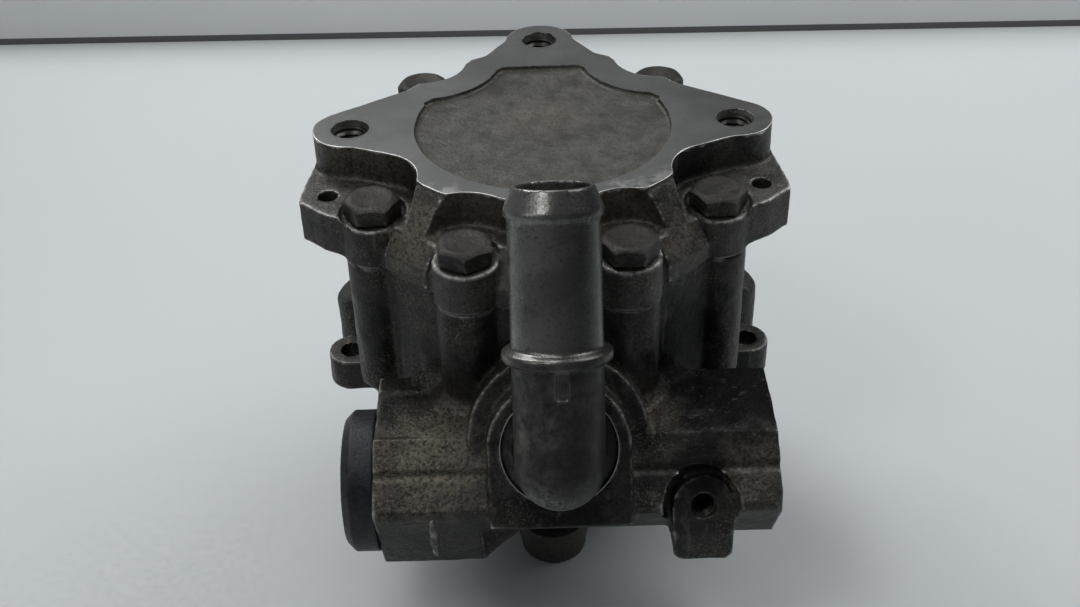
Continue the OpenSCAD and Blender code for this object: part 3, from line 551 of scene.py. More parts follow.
@dataclass(frozen=True)
class OxidisedSteel:
    """Steel with a dark brown-grey oxide skin, speckled with dust and rubbed on its corners."""

    name: str
    dark: Colour = (0.012, 0.0114, 0.0104)
    light: Colour = (0.030, 0.0285, 0.0255)
    dust: Colour = (0.14, 0.131, 0.11)
    rubbed: Colour = (0.24, 0.235, 0.225)
    dust_share: float = 0.35
    rough: float = 0.5
    metal: float = 0.6
    grain_mm: float = 0.08
    mottle_mm: float = 0.12
    cloud: Weave = (0.16, 5.0, 0.6)
    mottle: Weave = (0.9, 5.0, 0.65)
    grain: Weave = (3.0, 3.0, 0.55)
    dust_band: Band = (0.46, 0.62)
    grain_band: Band = (0.44, 0.58)
    edge_band: Band = (0.10, 0.40)
    broken_band: Band = (0.38, 0.60)
    rough_span: Band = (-0.1, 0.14)

    def make(self) -> Finish:
        """Returns the finish as a material."""
        sheet = NodeSheet(self.name)
        mottle = sheet.noise(*self.mottle)
        grain = sheet.noise(*self.grain)
        colour = sheet.mix(sheet.spread(mottle), self.dark, self.light)
        dusty = sheet.times(sheet.fade(sheet.noise(*self.cloud), *self.dust_band), self.dust_share)
        dusty = sheet.times(dusty, sheet.fade(grain, *self.grain_band))
        colour = sheet.mix(dusty, colour, self.dust)
        edge = sheet.fade(sheet.attribute("wear"), *self.edge_band)
        colour = sheet.mix(sheet.times(edge, sheet.fade(mottle, *self.broken_band)), colour, self.rubbed)
        rough = sheet.spread(mottle, *(self.rough + change for change in self.rough_span))
        normal = sheet.bump(mottle, self.mottle_mm, sheet.bump(grain, self.grain_mm))
        return sheet.finish(colour, rough, self.metal, normal)


@dataclass(frozen=True)
class EvenFinish:
    """Finish of two clouded tones and a fine grain, by default ground metal with light oil."""

    name: str
    dark: Colour
    light: Colour
    rough: float
    metal: float = 1.0
    grain_mm: float = 0.015
    cloud: Weave = (0.12, 4.0, 0.55)
    grain: Weave = (3.5, 4.0, 0.6)
    rough_span: Band = (-0.05, 0.09)

    def make(self) -> Finish:
        """Returns the finish as a material."""
        sheet = NodeSheet(self.name)
        grain = sheet.noise(*self.grain)
        colour = sheet.mix(sheet.spread(sheet.noise(*self.cloud)), self.dark, self.light)
        rough = sheet.spread(grain, *(self.rough + change for change in self.rough_span))
        return sheet.finish(colour, rough, self.metal, sheet.bump(grain, self.grain_mm))


@dataclass(frozen=True)
class SealRubber(EvenFinish):
    """Black nitrile rubber with a faint bloom."""

    dark: Colour = (0.012, 0.012, 0.012)
    light: Colour = (0.045, 0.044, 0.042)
    rough: float = 0.5
    metal: float = 0.0
    grain_mm: float = 0.02
    cloud: Weave = (0.3, 5.0, 0.6)
    grain: Weave = (4.0, 3.0, 0.5)
    rough_span: Band = (0.0, 0.2)


@dataclass(frozen=True)
class PalePaint(EvenFinish):
    """Pale matt board of the floor and the wall."""

    rough: float = 0.45
    metal: float = 0.0
    grain_mm: float = 0.03
    cloud: Weave = (0.004, 3.0, 0.5)
    grain: Weave = (0.6, 3.0, 0.5)
    rough_span: Band = (0.0, 0.15)


class MeshTools:
    """Shared steps that turn a solid's mesh into a finished piece."""

    round_pull: float = 0.55
    round_push: float = -0.56
    second_lump: float = 0.5
    second_scale: float = 2.3
    wear_rounds: int = 3
    wear_blur: float = 0.5
    grime_rounds: int = 6
    grime_blur: float = 0.7
    tube_section: int = 8
    tube_angle: float = 60.0

    @staticmethod
    def merged_copy(node: Piece) -> Mesh:
        """Returns a copy of a node's mesh with its loose triangles joined."""
        mesh = node.data.copy()
        work = bmesh.new()
        work.from_mesh(mesh)
        bmesh.ops.remove_doubles(work, verts=work.verts, dist=WELD_MM * MM)
        work.to_mesh(mesh)
        work.free()
        mesh.materials.clear()
        return mesh

    @staticmethod
    def from_work(work: bmesh.types.BMesh, name: str) -> Mesh:
        """Returns a new mesh from an edited one, which is freed."""
        mesh = bpy.data.meshes.new(name)
        work.to_mesh(mesh)
        work.free()
        return mesh

    @staticmethod
    def evaluated(mesh: Mesh, name: str, modify: Callable[[Piece], None]) -> Mesh:
        """Returns a mesh after modifiers.

        Args:
            mesh: Start mesh, removed afterwards.
            name: Name of the result.
            modify: Adds the modifiers to the object that it is given.

        Returns:
            New plain mesh.
        """
        holder = bpy.data.objects.new(name + ".work", mesh)
        bpy.context.scene.collection.objects.link(holder)
        modify(holder)
        bpy.context.view_layer.update()
        graph = bpy.context.evaluated_depsgraph_get()
        result = bpy.data.meshes.new_from_object(holder.evaluated_get(graph))
        result.name = name
        bpy.data.objects.remove(holder)
        bpy.data.meshes.remove(mesh)
        return result

    @staticmethod
    def points(mesh: Mesh) -> np.ndarray:
        """Returns the mesh's points in millimetres."""
        flat = np.empty(len(mesh.vertices) * 3, np.float32)
        mesh.vertices.foreach_get("co", flat)
        return flat.reshape(-1, 3).astype(float) / MM

    @staticmethod
    def normals(mesh: Mesh) -> np.ndarray:
        """Returns the mesh's point normals."""
        flat = np.empty(len(mesh.vertices) * 3, np.float32)
        mesh.vertex_normals.foreach_get("vector", flat)
        return flat.reshape(-1, 3).astype(float)

    @staticmethod
    def edges(mesh: Mesh) -> np.ndarray:
        """Returns the mesh's edges as pairs of point numbers."""
        flat = np.empty(len(mesh.edges) * 2, np.int32)
        mesh.edges.foreach_get("vertices", flat)
        return flat.reshape(-1, 2)

    @staticmethod
    def move(mesh: Mesh, points: np.ndarray) -> None:
        """Sets the mesh's points from millimetres."""
        mesh.vertices.foreach_set("co", (points * MM).astype(np.float32).ravel())
        mesh.update()

    @staticmethod
    def neighbour_mean(values: np.ndarray, edges: np.ndarray) -> np.ndarray:
        """Returns for each point the mean of its neighbours' values.

        Args:
            values: One row for each point.
            edges: Pairs of point numbers.

        Returns:
            Rows of means.
        """
        count = len(values)
        first, second = edges[:, 0], edges[:, 1]
        degree = np.bincount(first, minlength=count) + np.bincount(second, minlength=count)
        rows = values.reshape(count, -1)
        total = np.empty_like(rows)
        for column in range(rows.shape[1]):
            total[:, column] = (np.bincount(first, rows[second, column], count)
                                + np.bincount(second, rows[first, column], count))
        return (total / np.maximum(degree, 1)[:, None]).reshape(values.shape)

    @classmethod
    def blurred(cls, values: np.ndarray, edges: np.ndarray, rounds: int, share: float) -> np.ndarray:
        """Returns values drawn towards their neighbours' mean by a share in each round."""
        for _ in range(rounds):
            values = (1 - share) * values + share * cls.neighbour_mean(values, edges)
        return values

    @classmethod
    def rounded(cls, points: np.ndarray, edges: np.ndarray, share: np.ndarray, rounds: int) -> np.ndarray:
        """Returns points relaxed without shrinking the whole.

        Args:
            points: Points in millimetres.
            edges: Pairs of point numbers.
            share: Share of the relaxing for each point.
            rounds: Pairs of a pull and a push.

        Returns:
            Relaxed points.
        """
        for _ in range(rounds):
            for strength in (cls.round_pull, cls.round_push):
                drift = cls.neighbour_mean(points, edges) - points
                points = points + strength * share[:, None] * drift
        return points

    @classmethod
    def lumps(cls, points: np.ndarray, length_mm: float) -> np.ndarray:
        """Returns smooth noise of two octaves at each point."""
        spots = (Vector(row) for row in points / length_mm)
        return np.array([noise.noise(spot) + cls.second_lump * noise.noise(spot * cls.second_scale)
                         for spot in spots])

    @classmethod
    def store_wear(cls, mesh: Mesh) -> None:
        """Stores how far each point stands on an edge or sits in a corner.

        Args:
            mesh: Mesh that gets the point attributes wear and grime.
        """
        points, normals, edges = cls.points(mesh), cls.normals(mesh), cls.edges(mesh)
        first, second = edges[:, 0], edges[:, 1]
        step = points[second] - points[first]
        length = np.maximum(np.linalg.norm(step, axis=1), TINY)
        step = step / length[:, None]
        count = len(points)
        rise = (np.bincount(first, -(normals[first] * step).sum(1), count)
                + np.bincount(second, (normals[second] * step).sum(1), count))
        degree = np.bincount(first, minlength=count) + np.bincount(second, minlength=count)
        convex = rise / np.maximum(degree, 1)
        wear = np.clip(cls.blurred(convex, edges, cls.wear_rounds, cls.wear_blur), 0, 1)
        grime = cls.blurred(np.clip(-convex, 0, 1), edges, cls.grime_rounds, cls.grime_blur)
        for name, values in (("wear", wear), ("grime", grime)):
            layer = mesh.attributes.new(name, "FLOAT", "POINT")
            layer.data.foreach_set("value", values.astype(np.float32))

    @staticmethod
    def soften(mesh: Mesh, angle: float) -> None:
        """Shades a mesh smooth, with edges over an angle kept sharp."""
        mesh.shade_smooth()
        mesh.set_sharp_from_angle(angle=math.radians(angle))

    @staticmethod
    def bridge(work: bmesh.types.BMesh, loops: list[list[bmesh.types.BMVert]],
               closed: bool = False) -> list[bmesh.types.BMFace]:
        """Joins each loop of points to the next by a band of faces.

        Args:
            work: Mesh that holds the points.
            loops: Loops with equally many points.
            closed: Whether the last loop joins the first.

        Returns:
            The new faces.
        """
        faces = []
        for loop, following in zip(loops, loops[1:] + loops[:1] if closed else loops[1:]):
            for corner in range(len(loop)):
                after = (corner + 1) % len(loop)
                faces.append(work.faces.new((loop[corner], following[corner], following[after], loop[after])))
        return faces

    @classmethod
    def closed_tube(cls, name: str, path: list[Vector], outs: list[Vector], up: Vector,
                    widths: list[float]) -> Mesh:
        """Sweeps a thin round section along a closed path.

        Args:
            name: Name of the mesh.
            path: Points of the path in millimetres.
            outs: Direction across the path at each point.
            up: Direction square to the path's plane.
            widths: Radius of the section at each point.

        Returns:
            The mesh.
        """
        tilts = [2 * math.pi * corner / cls.tube_section for corner in range(cls.tube_section)]
        work = bmesh.new()
        loops = []
        for middle, out, width in zip(path, outs, widths):
            spots = [middle + width * (math.cos(tilt) * out + math.sin(tilt) * up) for tilt in tilts]
            loops.append([work.verts.new(spot * MM) for spot in spots])
        cls.bridge(work, loops, closed=True)
        bmesh.ops.recalc_face_normals(work, faces=work.faces)
        mesh = cls.from_work(work, name)
        cls.soften(mesh, cls.tube_angle)
        return mesh

    @staticmethod
    def aimed(direction: Triple) -> Matrix:
        """Returns the turn that points the Z axis along a direction."""
        return Vector(UP).rotation_difference(Vector(direction)).to_matrix()

    @staticmethod
    def piece(mesh: Mesh, name: str, body: Body, slot: Slot, *finishes: Finish) -> Piece:
        """Returns a piece that rides on a body.

        Args:
            mesh: Mesh in the part's frame.
            name: Name of the piece.
            body: Body that carries it.
            slot: Not used.
            finishes: Materials to add to the mesh.

        Returns:
            The linked object.
        """
        for finish in finishes:
            mesh.materials.append(finish)
        made = bpy.data.objects.new(name, mesh)
        bpy.context.scene.collection.objects.link(made)
        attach(made, body.value)
        LOG.info("%s: %d faces, rides on %s", name, len(mesh.polygons), body.value)
        return made


@dataclass(frozen=True)
class CrispZone:
    """Round zone about an axis where machined edges stay sharp."""

    centre: Triple
    axis: Triple
    radius: float
    low: float
    high: float

    def holds(self, points: np.ndarray) -> np.ndarray:
        """Returns which points lie in the zone.

        Args:
            points: Points in millimetres.

        Returns:
            One truth value for each point.
        """
        offset = points - np.array(self.centre)
        axis = np.array(self.axis) / np.linalg.norm(self.axis)
        along = offset @ axis
        across = np.linalg.norm(offset - along[:, None] * axis, axis=1)
        return (across < self.radius) & (along > self.low) & (along < self.high)


@dataclass
class Casting:
    """A solid of the frame rebuilt as a casting: edges rounded, skin slightly uneven, bores left crisp."""

    node: str
    name: str
    body: Body
    slot: Slot
    voxel: float
    rounding: int
    lump_mm: float
    budget: int
    crisp: list[CrispZone] = field(default_factory=list)
    prepare: Callable[[Mesh], None] | None = None
    stock_z: float | None = None
    stock_mm: float = 1.4
    level_mm: float = 0.01
    lump_length: float = 5.0
    crisp_share: float = 0.18
    crisp_rounds: int = 2
    crisp_blur: float = 0.5
    sharp_angle: float = 38.0

    def build(self, nodes: Nodes, *finishes: Finish) -> Piece:
        """Rebuilds the node as a piece that stands for it.

        Args:
            nodes: The frame's node objects by name.
            finishes: Finishes of the piece.

        Returns:
            The piece.
        """
        mesh = MeshTools.merged_copy(nodes[self.node])
        if self.prepare is not None:
            self.prepare(mesh)
        if self.stock_z is not None:
            self._raise_stock(mesh)
        mesh = MeshTools.evaluated(mesh, self.name, self._add_remesh)
        self._round_and_roughen(mesh)
        if self.stock_z is not None:
            self._mill(mesh)
        mesh = MeshTools.evaluated(mesh, self.name, self._add_thinning)
        MeshTools.store_wear(mesh)
        MeshTools.soften(mesh, self.sharp_angle)
        made = MeshTools.piece(mesh, self.name, self.body, self.slot, *finishes)
        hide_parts(self.node)
        return made

    def _raise_stock(self, mesh: Mesh) -> None:
        """Raises the milled face, so that its rounded rim can be cut away again."""
        points = MeshTools.points(mesh)
        points[points[:, 2] > self.stock_z - self.level_mm, 2] += self.stock_mm
        MeshTools.move(mesh, points)

    def _add_remesh(self, holder: Piece) -> None:
        """Adds the even remesh that the rounding works on."""
        remesh = holder.modifiers.new("even", "REMESH")
        remesh.mode = "VOXEL"
        remesh.voxel_size = self.voxel * MM

    def _round_and_roughen(self, mesh: Mesh) -> None:
        """Rounds the edges, less so in the crisp zones, and gives the skin its slow lumps."""
        points, edges = MeshTools.points(mesh), MeshTools.edges(mesh)
        share = np.ones(len(points))
        for zone in self.crisp:
            share[zone.holds(points)] = 0.0
        soft = np.maximum(share, self.crisp_share)
        share = MeshTools.blurred(share, edges, self.crisp_rounds, self.crisp_blur)
        points = MeshTools.rounded(points, edges, soft, self.rounding)
        MeshTools.move(mesh, points)
        height = MeshTools.lumps(points, self.lump_length) * self.lump_mm * share
        MeshTools.move(mesh, points + height[:, None] * MeshTools.normals(mesh))

    def _mill(self, mesh: Mesh) -> None:
        """Cuts the stock off at the milled face and closes the cut."""
        work = bmesh.new()
        work.from_mesh(mesh)
        level = Vector(UP) * self.stock_z * MM
        everything = work.verts[:] + work.edges[:] + work.faces[:]
        cut = bmesh.ops.bisect_plane(work, geom=everything, plane_co=level, plane_no=UP, clear_outer=True)
        rim = [item for item in cut["geom_cut"] if isinstance(item, bmesh.types.BMEdge)]
        bmesh.ops.triangle_fill(work, edges=rim, use_beauty=True, normal=UP)
        work.to_mesh(mesh)
        work.free()

    def _add_thinning(self, holder: Piece) -> None:
        """Adds the thinning that keeps the piece within its budget of triangles."""
        triangles = sum(len(face.vertices) - 2 for face in holder.data.polygons)
        thin = holder.modifiers.new("thin", "DECIMATE")
        thin.ratio = min(1.0, self.budget / max(triangles, 1))


class NodeTree(NodeBoard):
    """A Geometry Nodes tree with named inputs."""

    def __init__(self, name: str) -> None:
        """Starts an empty tree with a geometry output."""
        self.tree = bpy.data.node_groups.new(name, "GeometryNodeTree")
        self.inputs: dict[str, str] = {}
        self.tree.interface.new_socket("Geometry", in_out="OUTPUT", socket_type="NodeSocketGeometry")
        self.source = self.tree.nodes.new("NodeGroupInput")
        self.result = self.tree.nodes.new("NodeGroupOutput")

    def take(self, kind: str, *names: str) -> list[Socket]:
        """Adds named inputs of one kind.

        Args:
            kind: What the inputs hold, as in the names of socket types.
            names: Names of the inputs.

        Returns:
            The sockets that give their values.
        """
        sockets = []
        for name in names:
            item = self.tree.interface.new_socket(name, in_out="INPUT", socket_type="NodeSocket" + kind)
            self.inputs[name] = item.identifier
            sockets += [socket for socket in self.source.outputs if socket.identifier == item.identifier]
        return sockets

    def close(self, geometry: Socket, finish: Socket) -> None:
        """Ends the tree in plain, finished geometry."""
        plain = self.add("GeometryNodeRealizeInstances", {"Geometry": geometry}).outputs["Geometry"]
        painted = self.add("GeometryNodeSetMaterial", {"Geometry": plain, "Material": finish})
        self.feed(self.result.inputs["Geometry"], painted.outputs["Geometry"])

    def apply(self, holder: Piece, values: dict[str, Any]) -> None:
        """Puts the tree on an object with its input values."""
        modifier = holder.modifiers.new(self.tree.name, "NODES")
        modifier.node_group = self.tree
        for name, value in values.items():
            modifier[self.inputs[name]] = value


@dataclass(frozen=True)
class TappedHole:
    """One tapped hole: where it opens, which way it looks, and its thread."""

    place: Triple
    outward: Triple
    radius: float
    mouth: float
    depth: float
    pitch: float
    body: Body = Body.HOUSING


@dataclass
class Threads:
    """Screw threads in the tapped holes, made by rolling a grid into a threaded wall."""

    around: int = 64
    rows_per_turn: int = 9
    thread_share: float = 0.52
    wall_mm: float = 0.35
    sharp_angle: float = 50.0

    def tree(self) -> NodeTree:
        """Returns the tree of a threaded wall with its chamfered mouth."""
        made = NodeTree("threaded_wall")
        radius, mouth, depth, pitch, height = made.take("Float", "Radius", "Mouth", "Depth", "Pitch",
                                                        "Thread Height")
        around, along = made.take("Int", "Around", "Along")
        finish, = made.take("Material", "Finish")
        grid = made.add("GeometryNodeMeshGrid", {"Size X": 1.0, "Size Y": 1.0, "Vertices X": around,
                                                 "Vertices Y": along})
        spot = made.add("ShaderNodeSeparateXYZ", {0: made.add("GeometryNodeInputPosition").outputs[0]})
        share = made.math("ADD", spot.outputs["X"], 0.5)
        turn = made.times(share, 2 * math.pi)
        down = made.times(made.math("SUBTRACT", 0.5, spot.outputs["Y"]), depth)
        lead = made.math("ADD", made.math("DIVIDE", down, pitch), share)
        crest = made.times(made.math("PINGPONG", lead, 0.5), 2.0)
        flare = made.math("SUBTRACT", mouth, radius)
        under = made.math("SUBTRACT", down, flare)
        begin = made.add("ShaderNodeClamp", {"Value": made.math("DIVIDE", under, pitch)})
        thread = made.times(made.times(crest, height), begin.outputs[0])
        chamfer = made.math("MAXIMUM", made.math("SUBTRACT", flare, down), 0.0)
        out = made.math("SUBTRACT", made.math("ADD", radius, chamfer), thread)
        place = made.add("ShaderNodeCombineXYZ", {
            "X": made.times(out, made.math("COSINE", turn)),
            "Y": made.times(out, made.math("SINE", turn)),
            "Z": made.times(down, -1.0)}).outputs[0]
        rolled = made.add("GeometryNodeSetPosition", {"Geometry": grid.outputs["Mesh"], "Position": place})
        joined = made.add("GeometryNodeMergeByDistance", {"Geometry": rolled.outputs[0],
                                                          "Distance": WELD_MM * MM})
        facing = made.add("GeometryNodeFlipFaces", {"Mesh": joined.outputs[0]})
        made.close(facing.outputs[0], finish)
        return made

    def build(self, name: str, holes: Sequence[TappedHole], slot: Slot, finish: Finish) -> Piece:
        """Builds the threads of some holes on one body as one piece.

        Args:
            name: Name of the piece.
            holes: The tapped holes.
            slot: Slot that names the finish.
            finish: Material of the threads.

        Returns:
            The piece.
        """
        tree = self.tree()
        joined = bmesh.new()
        for hole in holes:
            mesh = MeshTools.evaluated(bpy.data.meshes.new(name), name, self._dresser(tree, hole, finish))
            turn = MeshTools.aimed(hole.outward).to_4x4()
            mesh.transform(Matrix.Translation(Vector(hole.place) * MM) @ turn)
            joined.from_mesh(mesh)
            bpy.data.meshes.remove(mesh)
        mesh = MeshTools.from_work(joined, name)
        MeshTools.store_wear(mesh)
        MeshTools.soften(mesh, self.sharp_angle)
        return MeshTools.piece(mesh, name, holes[0].body, slot, finish)

    def _dresser(self, tree: NodeTree, hole: TappedHole, finish: Finish) -> Callable[[Piece], None]:
        """Returns the step that puts the tree and a wall thickness on an object."""
        lengths = {"Radius": hole.radius, "Mouth": hole.mouth, "Depth": hole.depth, "Pitch": hole.pitch,
                   "Thread Height": self.thread_share * hole.pitch}
        values = {name: length * MM for name, length in lengths.items()}
        values["Around"] = self.around + 1
        values["Along"] = int(hole.depth / hole.pitch * self.rows_per_turn)
        values["Finish"] = finish

        def dress(holder: Piece) -> None:
            """Adds the tree with this hole's sizes."""
            tree.apply(holder, values)
            wall = holder.modifiers.new("wall", "SOLIDIFY")
            wall.thickness = self.wall_mm * MM
            wall.offset = -1.0
        return dress


@dataclass
class CoverBolts:
    """Six hex bolts of the rear cover, one bolt's mesh set out by Geometry Nodes."""

    circle_r: float = 38.8
    angles: tuple[float, ...] = (-30.0, -150.0, -67.0, -113.0, 48.0, 132.0)
    turns: tuple[float, ...] = (30.0, 33.0, 28.0, 2.0, 17.0, 40.0)
    seat_z: float = 86.5
    flats: float = 10.0
    head_h: float = 4.0
    chamfer_in: float = 0.55
    chamfer_angle: float = 28.0
    dish: tuple[Band, ...] = ((0.25, 0.30), (0.5, 0.26), (0.74, 0.10), (0.86, 0.0), (0.97, 0.0))
    dish_depth: float = 0.31
    edge_in: float = 0.16
    edge_lift: float = 0.02
    edge_drop: float = 0.12
    washer_h: float = 0.45
    washer_in: float = 0.1
    washer_drop: float = 0.05
    shank_r: float = 2.9
    shank_l: float = 27.5
    shank_gap: float = 0.02
    tip_bevel: float = 0.6
    around: int = 144
    sides: int = 6
    corner_sharpness: float = 46.0
    sharp_angle: float = 40.0

    def hex_radius(self, turn: float) -> float:
        """Returns the head's radius at an angle, with its corners slightly rounded."""
        power = self.corner_sharpness
        facets = (2 * math.pi * side / self.sides for side in range(self.sides))
        total = sum(max(0.0, math.cos(turn - facet)) ** power for facet in facets)
        return self.flats / 2 / total ** (1 / power)

    def outline(self, turn: float) -> list[Band]:
        """Returns the bolt's outline from its top to its tip, as radius and height at an angle."""
        hexagon = self.hex_radius(turn)
        chamfer_r = self.flats / 2 - self.chamfer_in
        rim = self.head_h - (hexagon - chamfer_r) * math.tan(math.radians(self.chamfer_angle))
        washer_r = self.flats / 2 - self.washer_in
        return [*((share * chamfer_r, self.head_h - drop) for share, drop in self.dish),
                (hexagon - self.edge_in, rim + self.edge_lift),
                (hexagon, rim - self.edge_drop),
                (hexagon, self.washer_h + self.edge_drop),
                (hexagon - self.edge_drop, self.washer_h),
                (washer_r, self.washer_h - self.washer_drop),
                (washer_r, 0.0),
                (self.shank_r, -self.shank_gap),
                (self.shank_r, -self.shank_l + self.tip_bevel),
                (self.shank_r - self.tip_bevel, -self.shank_l)]

    def bolt_mesh(self) -> Mesh:
        """Returns one bolt at the origin, its seat at height zero."""
        turns = [2 * math.pi * step / self.around for step in range(self.around)]
        outlines = [self.outline(turn) for turn in turns]
        work = bmesh.new()
        loops = []
        for ring in zip(*outlines):
            spots = [Vector((radius * math.cos(turn), radius * math.sin(turn), height))
                     for turn, (radius, height) in zip(turns, ring)]
            loops.append([work.verts.new(spot * MM) for spot in spots])
        MeshTools.bridge(work, loops)
        crown = work.verts.new((0, 0, (self.head_h - self.dish_depth) * MM))
        tip = work.verts.new((0, 0, -self.shank_l * MM))
        for step in range(self.around):
            after = (step + 1) % self.around
            work.faces.new((crown, loops[0][step], loops[0][after]))
            work.faces.new((tip, loops[-1][after], loops[-1][step]))
        mesh = MeshTools.from_work(work, "bolt")
        MeshTools.store_wear(mesh)
        MeshTools.soften(mesh, self.sharp_angle)
        return mesh

    def tree(self) -> NodeTree:
        """Returns the tree that sets one bolt on every point, turned by the point's own angle."""
        made = NodeTree("bolt_ring")
        geometry, = made.take("Geometry", "Points")
        bolt, = made.take("Object", "Bolt")
        finish, = made.take("Material", "Finish")
        info = made.add("GeometryNodeObjectInfo", {"Object": bolt})
        turn = made.add("GeometryNodeInputNamedAttribute", {"Name": "turn"}, data_type="FLOAT")
        angles = made.add("ShaderNodeCombineXYZ", {"Z": turn.outputs["Attribute"]})
        placed = made.add("GeometryNodeInstanceOnPoints", {
            "Points": geometry, "Instance": info.outputs["Geometry"], "Rotation": angles.outputs[0]})
        made.close(placed.outputs["Instances"], finish)
        return made

    def build(self, finish: Finish) -> Piece:
        """Builds the bolts as one piece that stands for their node.

        Args:
            finish: Material of the bolts.

        Returns:
            The piece.
        """
        holder = bpy.data.objects.new("bolt.work", self.bolt_mesh())
        bpy.context.scene.collection.objects.link(holder)
        points = bpy.data.meshes.new("bolt_points")
        ways = [math.radians(angle) for angle in self.angles]
        spots = [Vector((self.circle_r * math.cos(way), self.circle_r * math.sin(way), self.seat_z))
                 for way in ways]
        points.from_pydata([spot * MM for spot in spots], [], [])
        layer = points.attributes.new("turn", "FLOAT", "POINT")
        layer.data.foreach_set("value", [math.radians(angle) for angle in self.turns])
        tree = self.tree()
        mesh = MeshTools.evaluated(points, "hex_bolts",
                                   lambda made: tree.apply(made, {"Bolt": holder, "Finish": finish}))
        bpy.data.objects.remove(holder)
        made = MeshTools.piece(mesh, "hex_bolts", Body.HOUSING, Slot.BOLT_STEEL)
        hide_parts("cover_bolts")
        return made


@dataclass
class RearCover:
    """Rear cover: a casting with a milled star-shaped plateau, a shield recess and three tapped lugs."""

    top_z: float = 95.0
    lug_reach: float = 39.0
    lug_hole_r: float = 3.4
    lug_mouth_r: float = 4.3
    rim_margin: float = 0.3
    mouth_over: float = 0.1
    lug_depth: float = 12.8
    lug_pitch: float = 1.25
    lug_rim_r: float = 4.8
    lug_end_r: float = 7.5
    lug_low_z: float = 79.5
    lug_end_turns: Band = (110.0, 285.0)
    lug_end_steps: int = 48
    recess_r: float = 28.5
    recess_depth: float = 1.0
    ear_hole: Triple = (42.9, -13.5, 87.6)
    level_up: float = 0.9
    top_margin: float = 0.12
    recess_margin: float = 0.4
    edge_w: float = 0.18
    edge_step: float = 0.6
    glint_turn: float = 0.35
    glint_fade: float = 0.6
    edge_sunk: float = 0.6
    edge_least: float = 0.12
    edge_lumps_per_mm: float = 0.22
    edge_seed: float = 3.0
    edge_mean: float = 0.75
    edge_change: float = 0.9
    edge_thin: float = 0.2
    edge_rounds: int = 2

    def lugs(self) -> list[Triple]:
        """Returns the mouths of the tapped lugs."""
        return [(x * self.lug_reach, y * self.lug_reach, self.top_z) for x, y in ((1, 0), (-1, 0), (0, 1))]

    def build(self, nodes: Nodes, skin: Finish, milled: Finish, sunk: Finish) -> Piece:
        """Builds the cover.

        Args:
            nodes: The frame's node objects by name.
            skin: Finish of the cast faces.
            milled: Finish of the plateau.
            sunk: Finish of the shield recess.

        Returns:
            The piece.
        """
        radius = self.lug_mouth_r + self.rim_margin
        zones = [CrispZone(lug, UP, radius=radius, low=-14.0, high=3.0) for lug in self.lugs()]
        x, y, z = self.ear_hole
        zones += [CrispZone((side * x, y, z), UP, radius=2.6, low=-9.0, high=2.0) for side in (-1, 1)]
        casting = Casting("rear_cover", "cast_cover", Body.HOUSING, Slot.CAST_COVER, voxel=0.42,
                          rounding=8, lump_mm=0.10, budget=185_000, crisp=zones, stock_z=self.top_z,
                          prepare=self._round_left_lug)
        made = casting.build(nodes, skin, milled, sunk)
        self._dress(made.data)
        return made

    def build_glint_edge(self, cover: Piece, finish: Finish) -> Piece:
        """Builds the thin rubbed edge along the front of the plateau, bright and made only where the rim
        faces the front, as a painted glint line.

        Args:
            cover: The finished cover.
            finish: Finish of the edge.

        Returns:
            The piece.
        """
        path = self._outline(cover.data)
        along = np.roll(path, -1, axis=0) - np.roll(path, 1, axis=0)
        along /= np.linalg.norm(along, axis=1)[:, None]
        winding = np.sign((path[:, 0] * along[:, 1] - path[:, 1] * along[:, 0]).sum())
        across = np.stack([along[:, 1], -along[:, 0]], axis=1) * winding
        # The edge is only made where the rim faces the front, so its bright line is a painted glint.
        facing = np.clip((self.glint_turn - across[:, 1]) / self.glint_fade, 0, 1)
        up = Vector(UP)
        spots, outs, widths = [], [], []
        for (x, y), side, share in zip(path.tolist(), across.tolist(), facing.tolist()):
            seed = Vector((self.edge_lumps_per_mm * x, self.edge_lumps_per_mm * y, self.edge_seed))
            lump = self.edge_mean + self.edge_change * noise.noise(seed)
            width = self.edge_w * max(self.edge_least, share * min(1.0, max(self.edge_thin, lump)))
            out = Vector((*side, 0))
            spots.append(Vector((x, y, self.top_z)) - self.edge_sunk * width * (out + up))
            outs.append(out)
            widths.append(width)
        mesh = MeshTools.closed_tube("plateau_edge", spots, outs, up, widths)
        return MeshTools.piece(mesh, "plateau_edge", Body.HOUSING, Slot.CAST_COVER, finish)

    def _outline(self, mesh: Mesh) -> np.ndarray:
        """Returns the plateau's outer outline as an even closed path in millimetres."""
        work = bmesh.new()
        work.from_mesh(mesh)
        beside: dict[bmesh.types.BMVert, list[bmesh.types.BMVert]] = {}
        for edge in work.edges:
            if len({face.material_index == CoverFace.MILLED for face in edge.link_faces}) == 2:
                first, second = edge.verts
                beside.setdefault(first, []).append(second)
                beside.setdefault(second, []).append(first)
        start = max(beside, key=lambda vert: vert.co.xy.length)
        walk = [start, beside[start][0]]
        while walk[-1] is not start and len(walk) <= len(beside):
            walk.append(next(vert for vert in beside[walk[-1]] if vert is not walk[-2]))
        spots = np.array([vert.co.xy[:] for vert in walk]) / MM
        work.free()
        run = np.concatenate([[0.0], np.cumsum(np.linalg.norm(np.diff(spots, axis=0), axis=1))])
        places = np.linspace(0, run[-1], int(run[-1] / self.edge_step), endpoint=False)
        path = np.stack([np.interp(places, run, spots[:, axis]) for axis in (0, 1)], axis=1)
        for _ in range(self.edge_rounds):
            path = 0.5 * path + 0.25 * (np.roll(path, 1, axis=0) + np.roll(path, -1, axis=0))
        return path

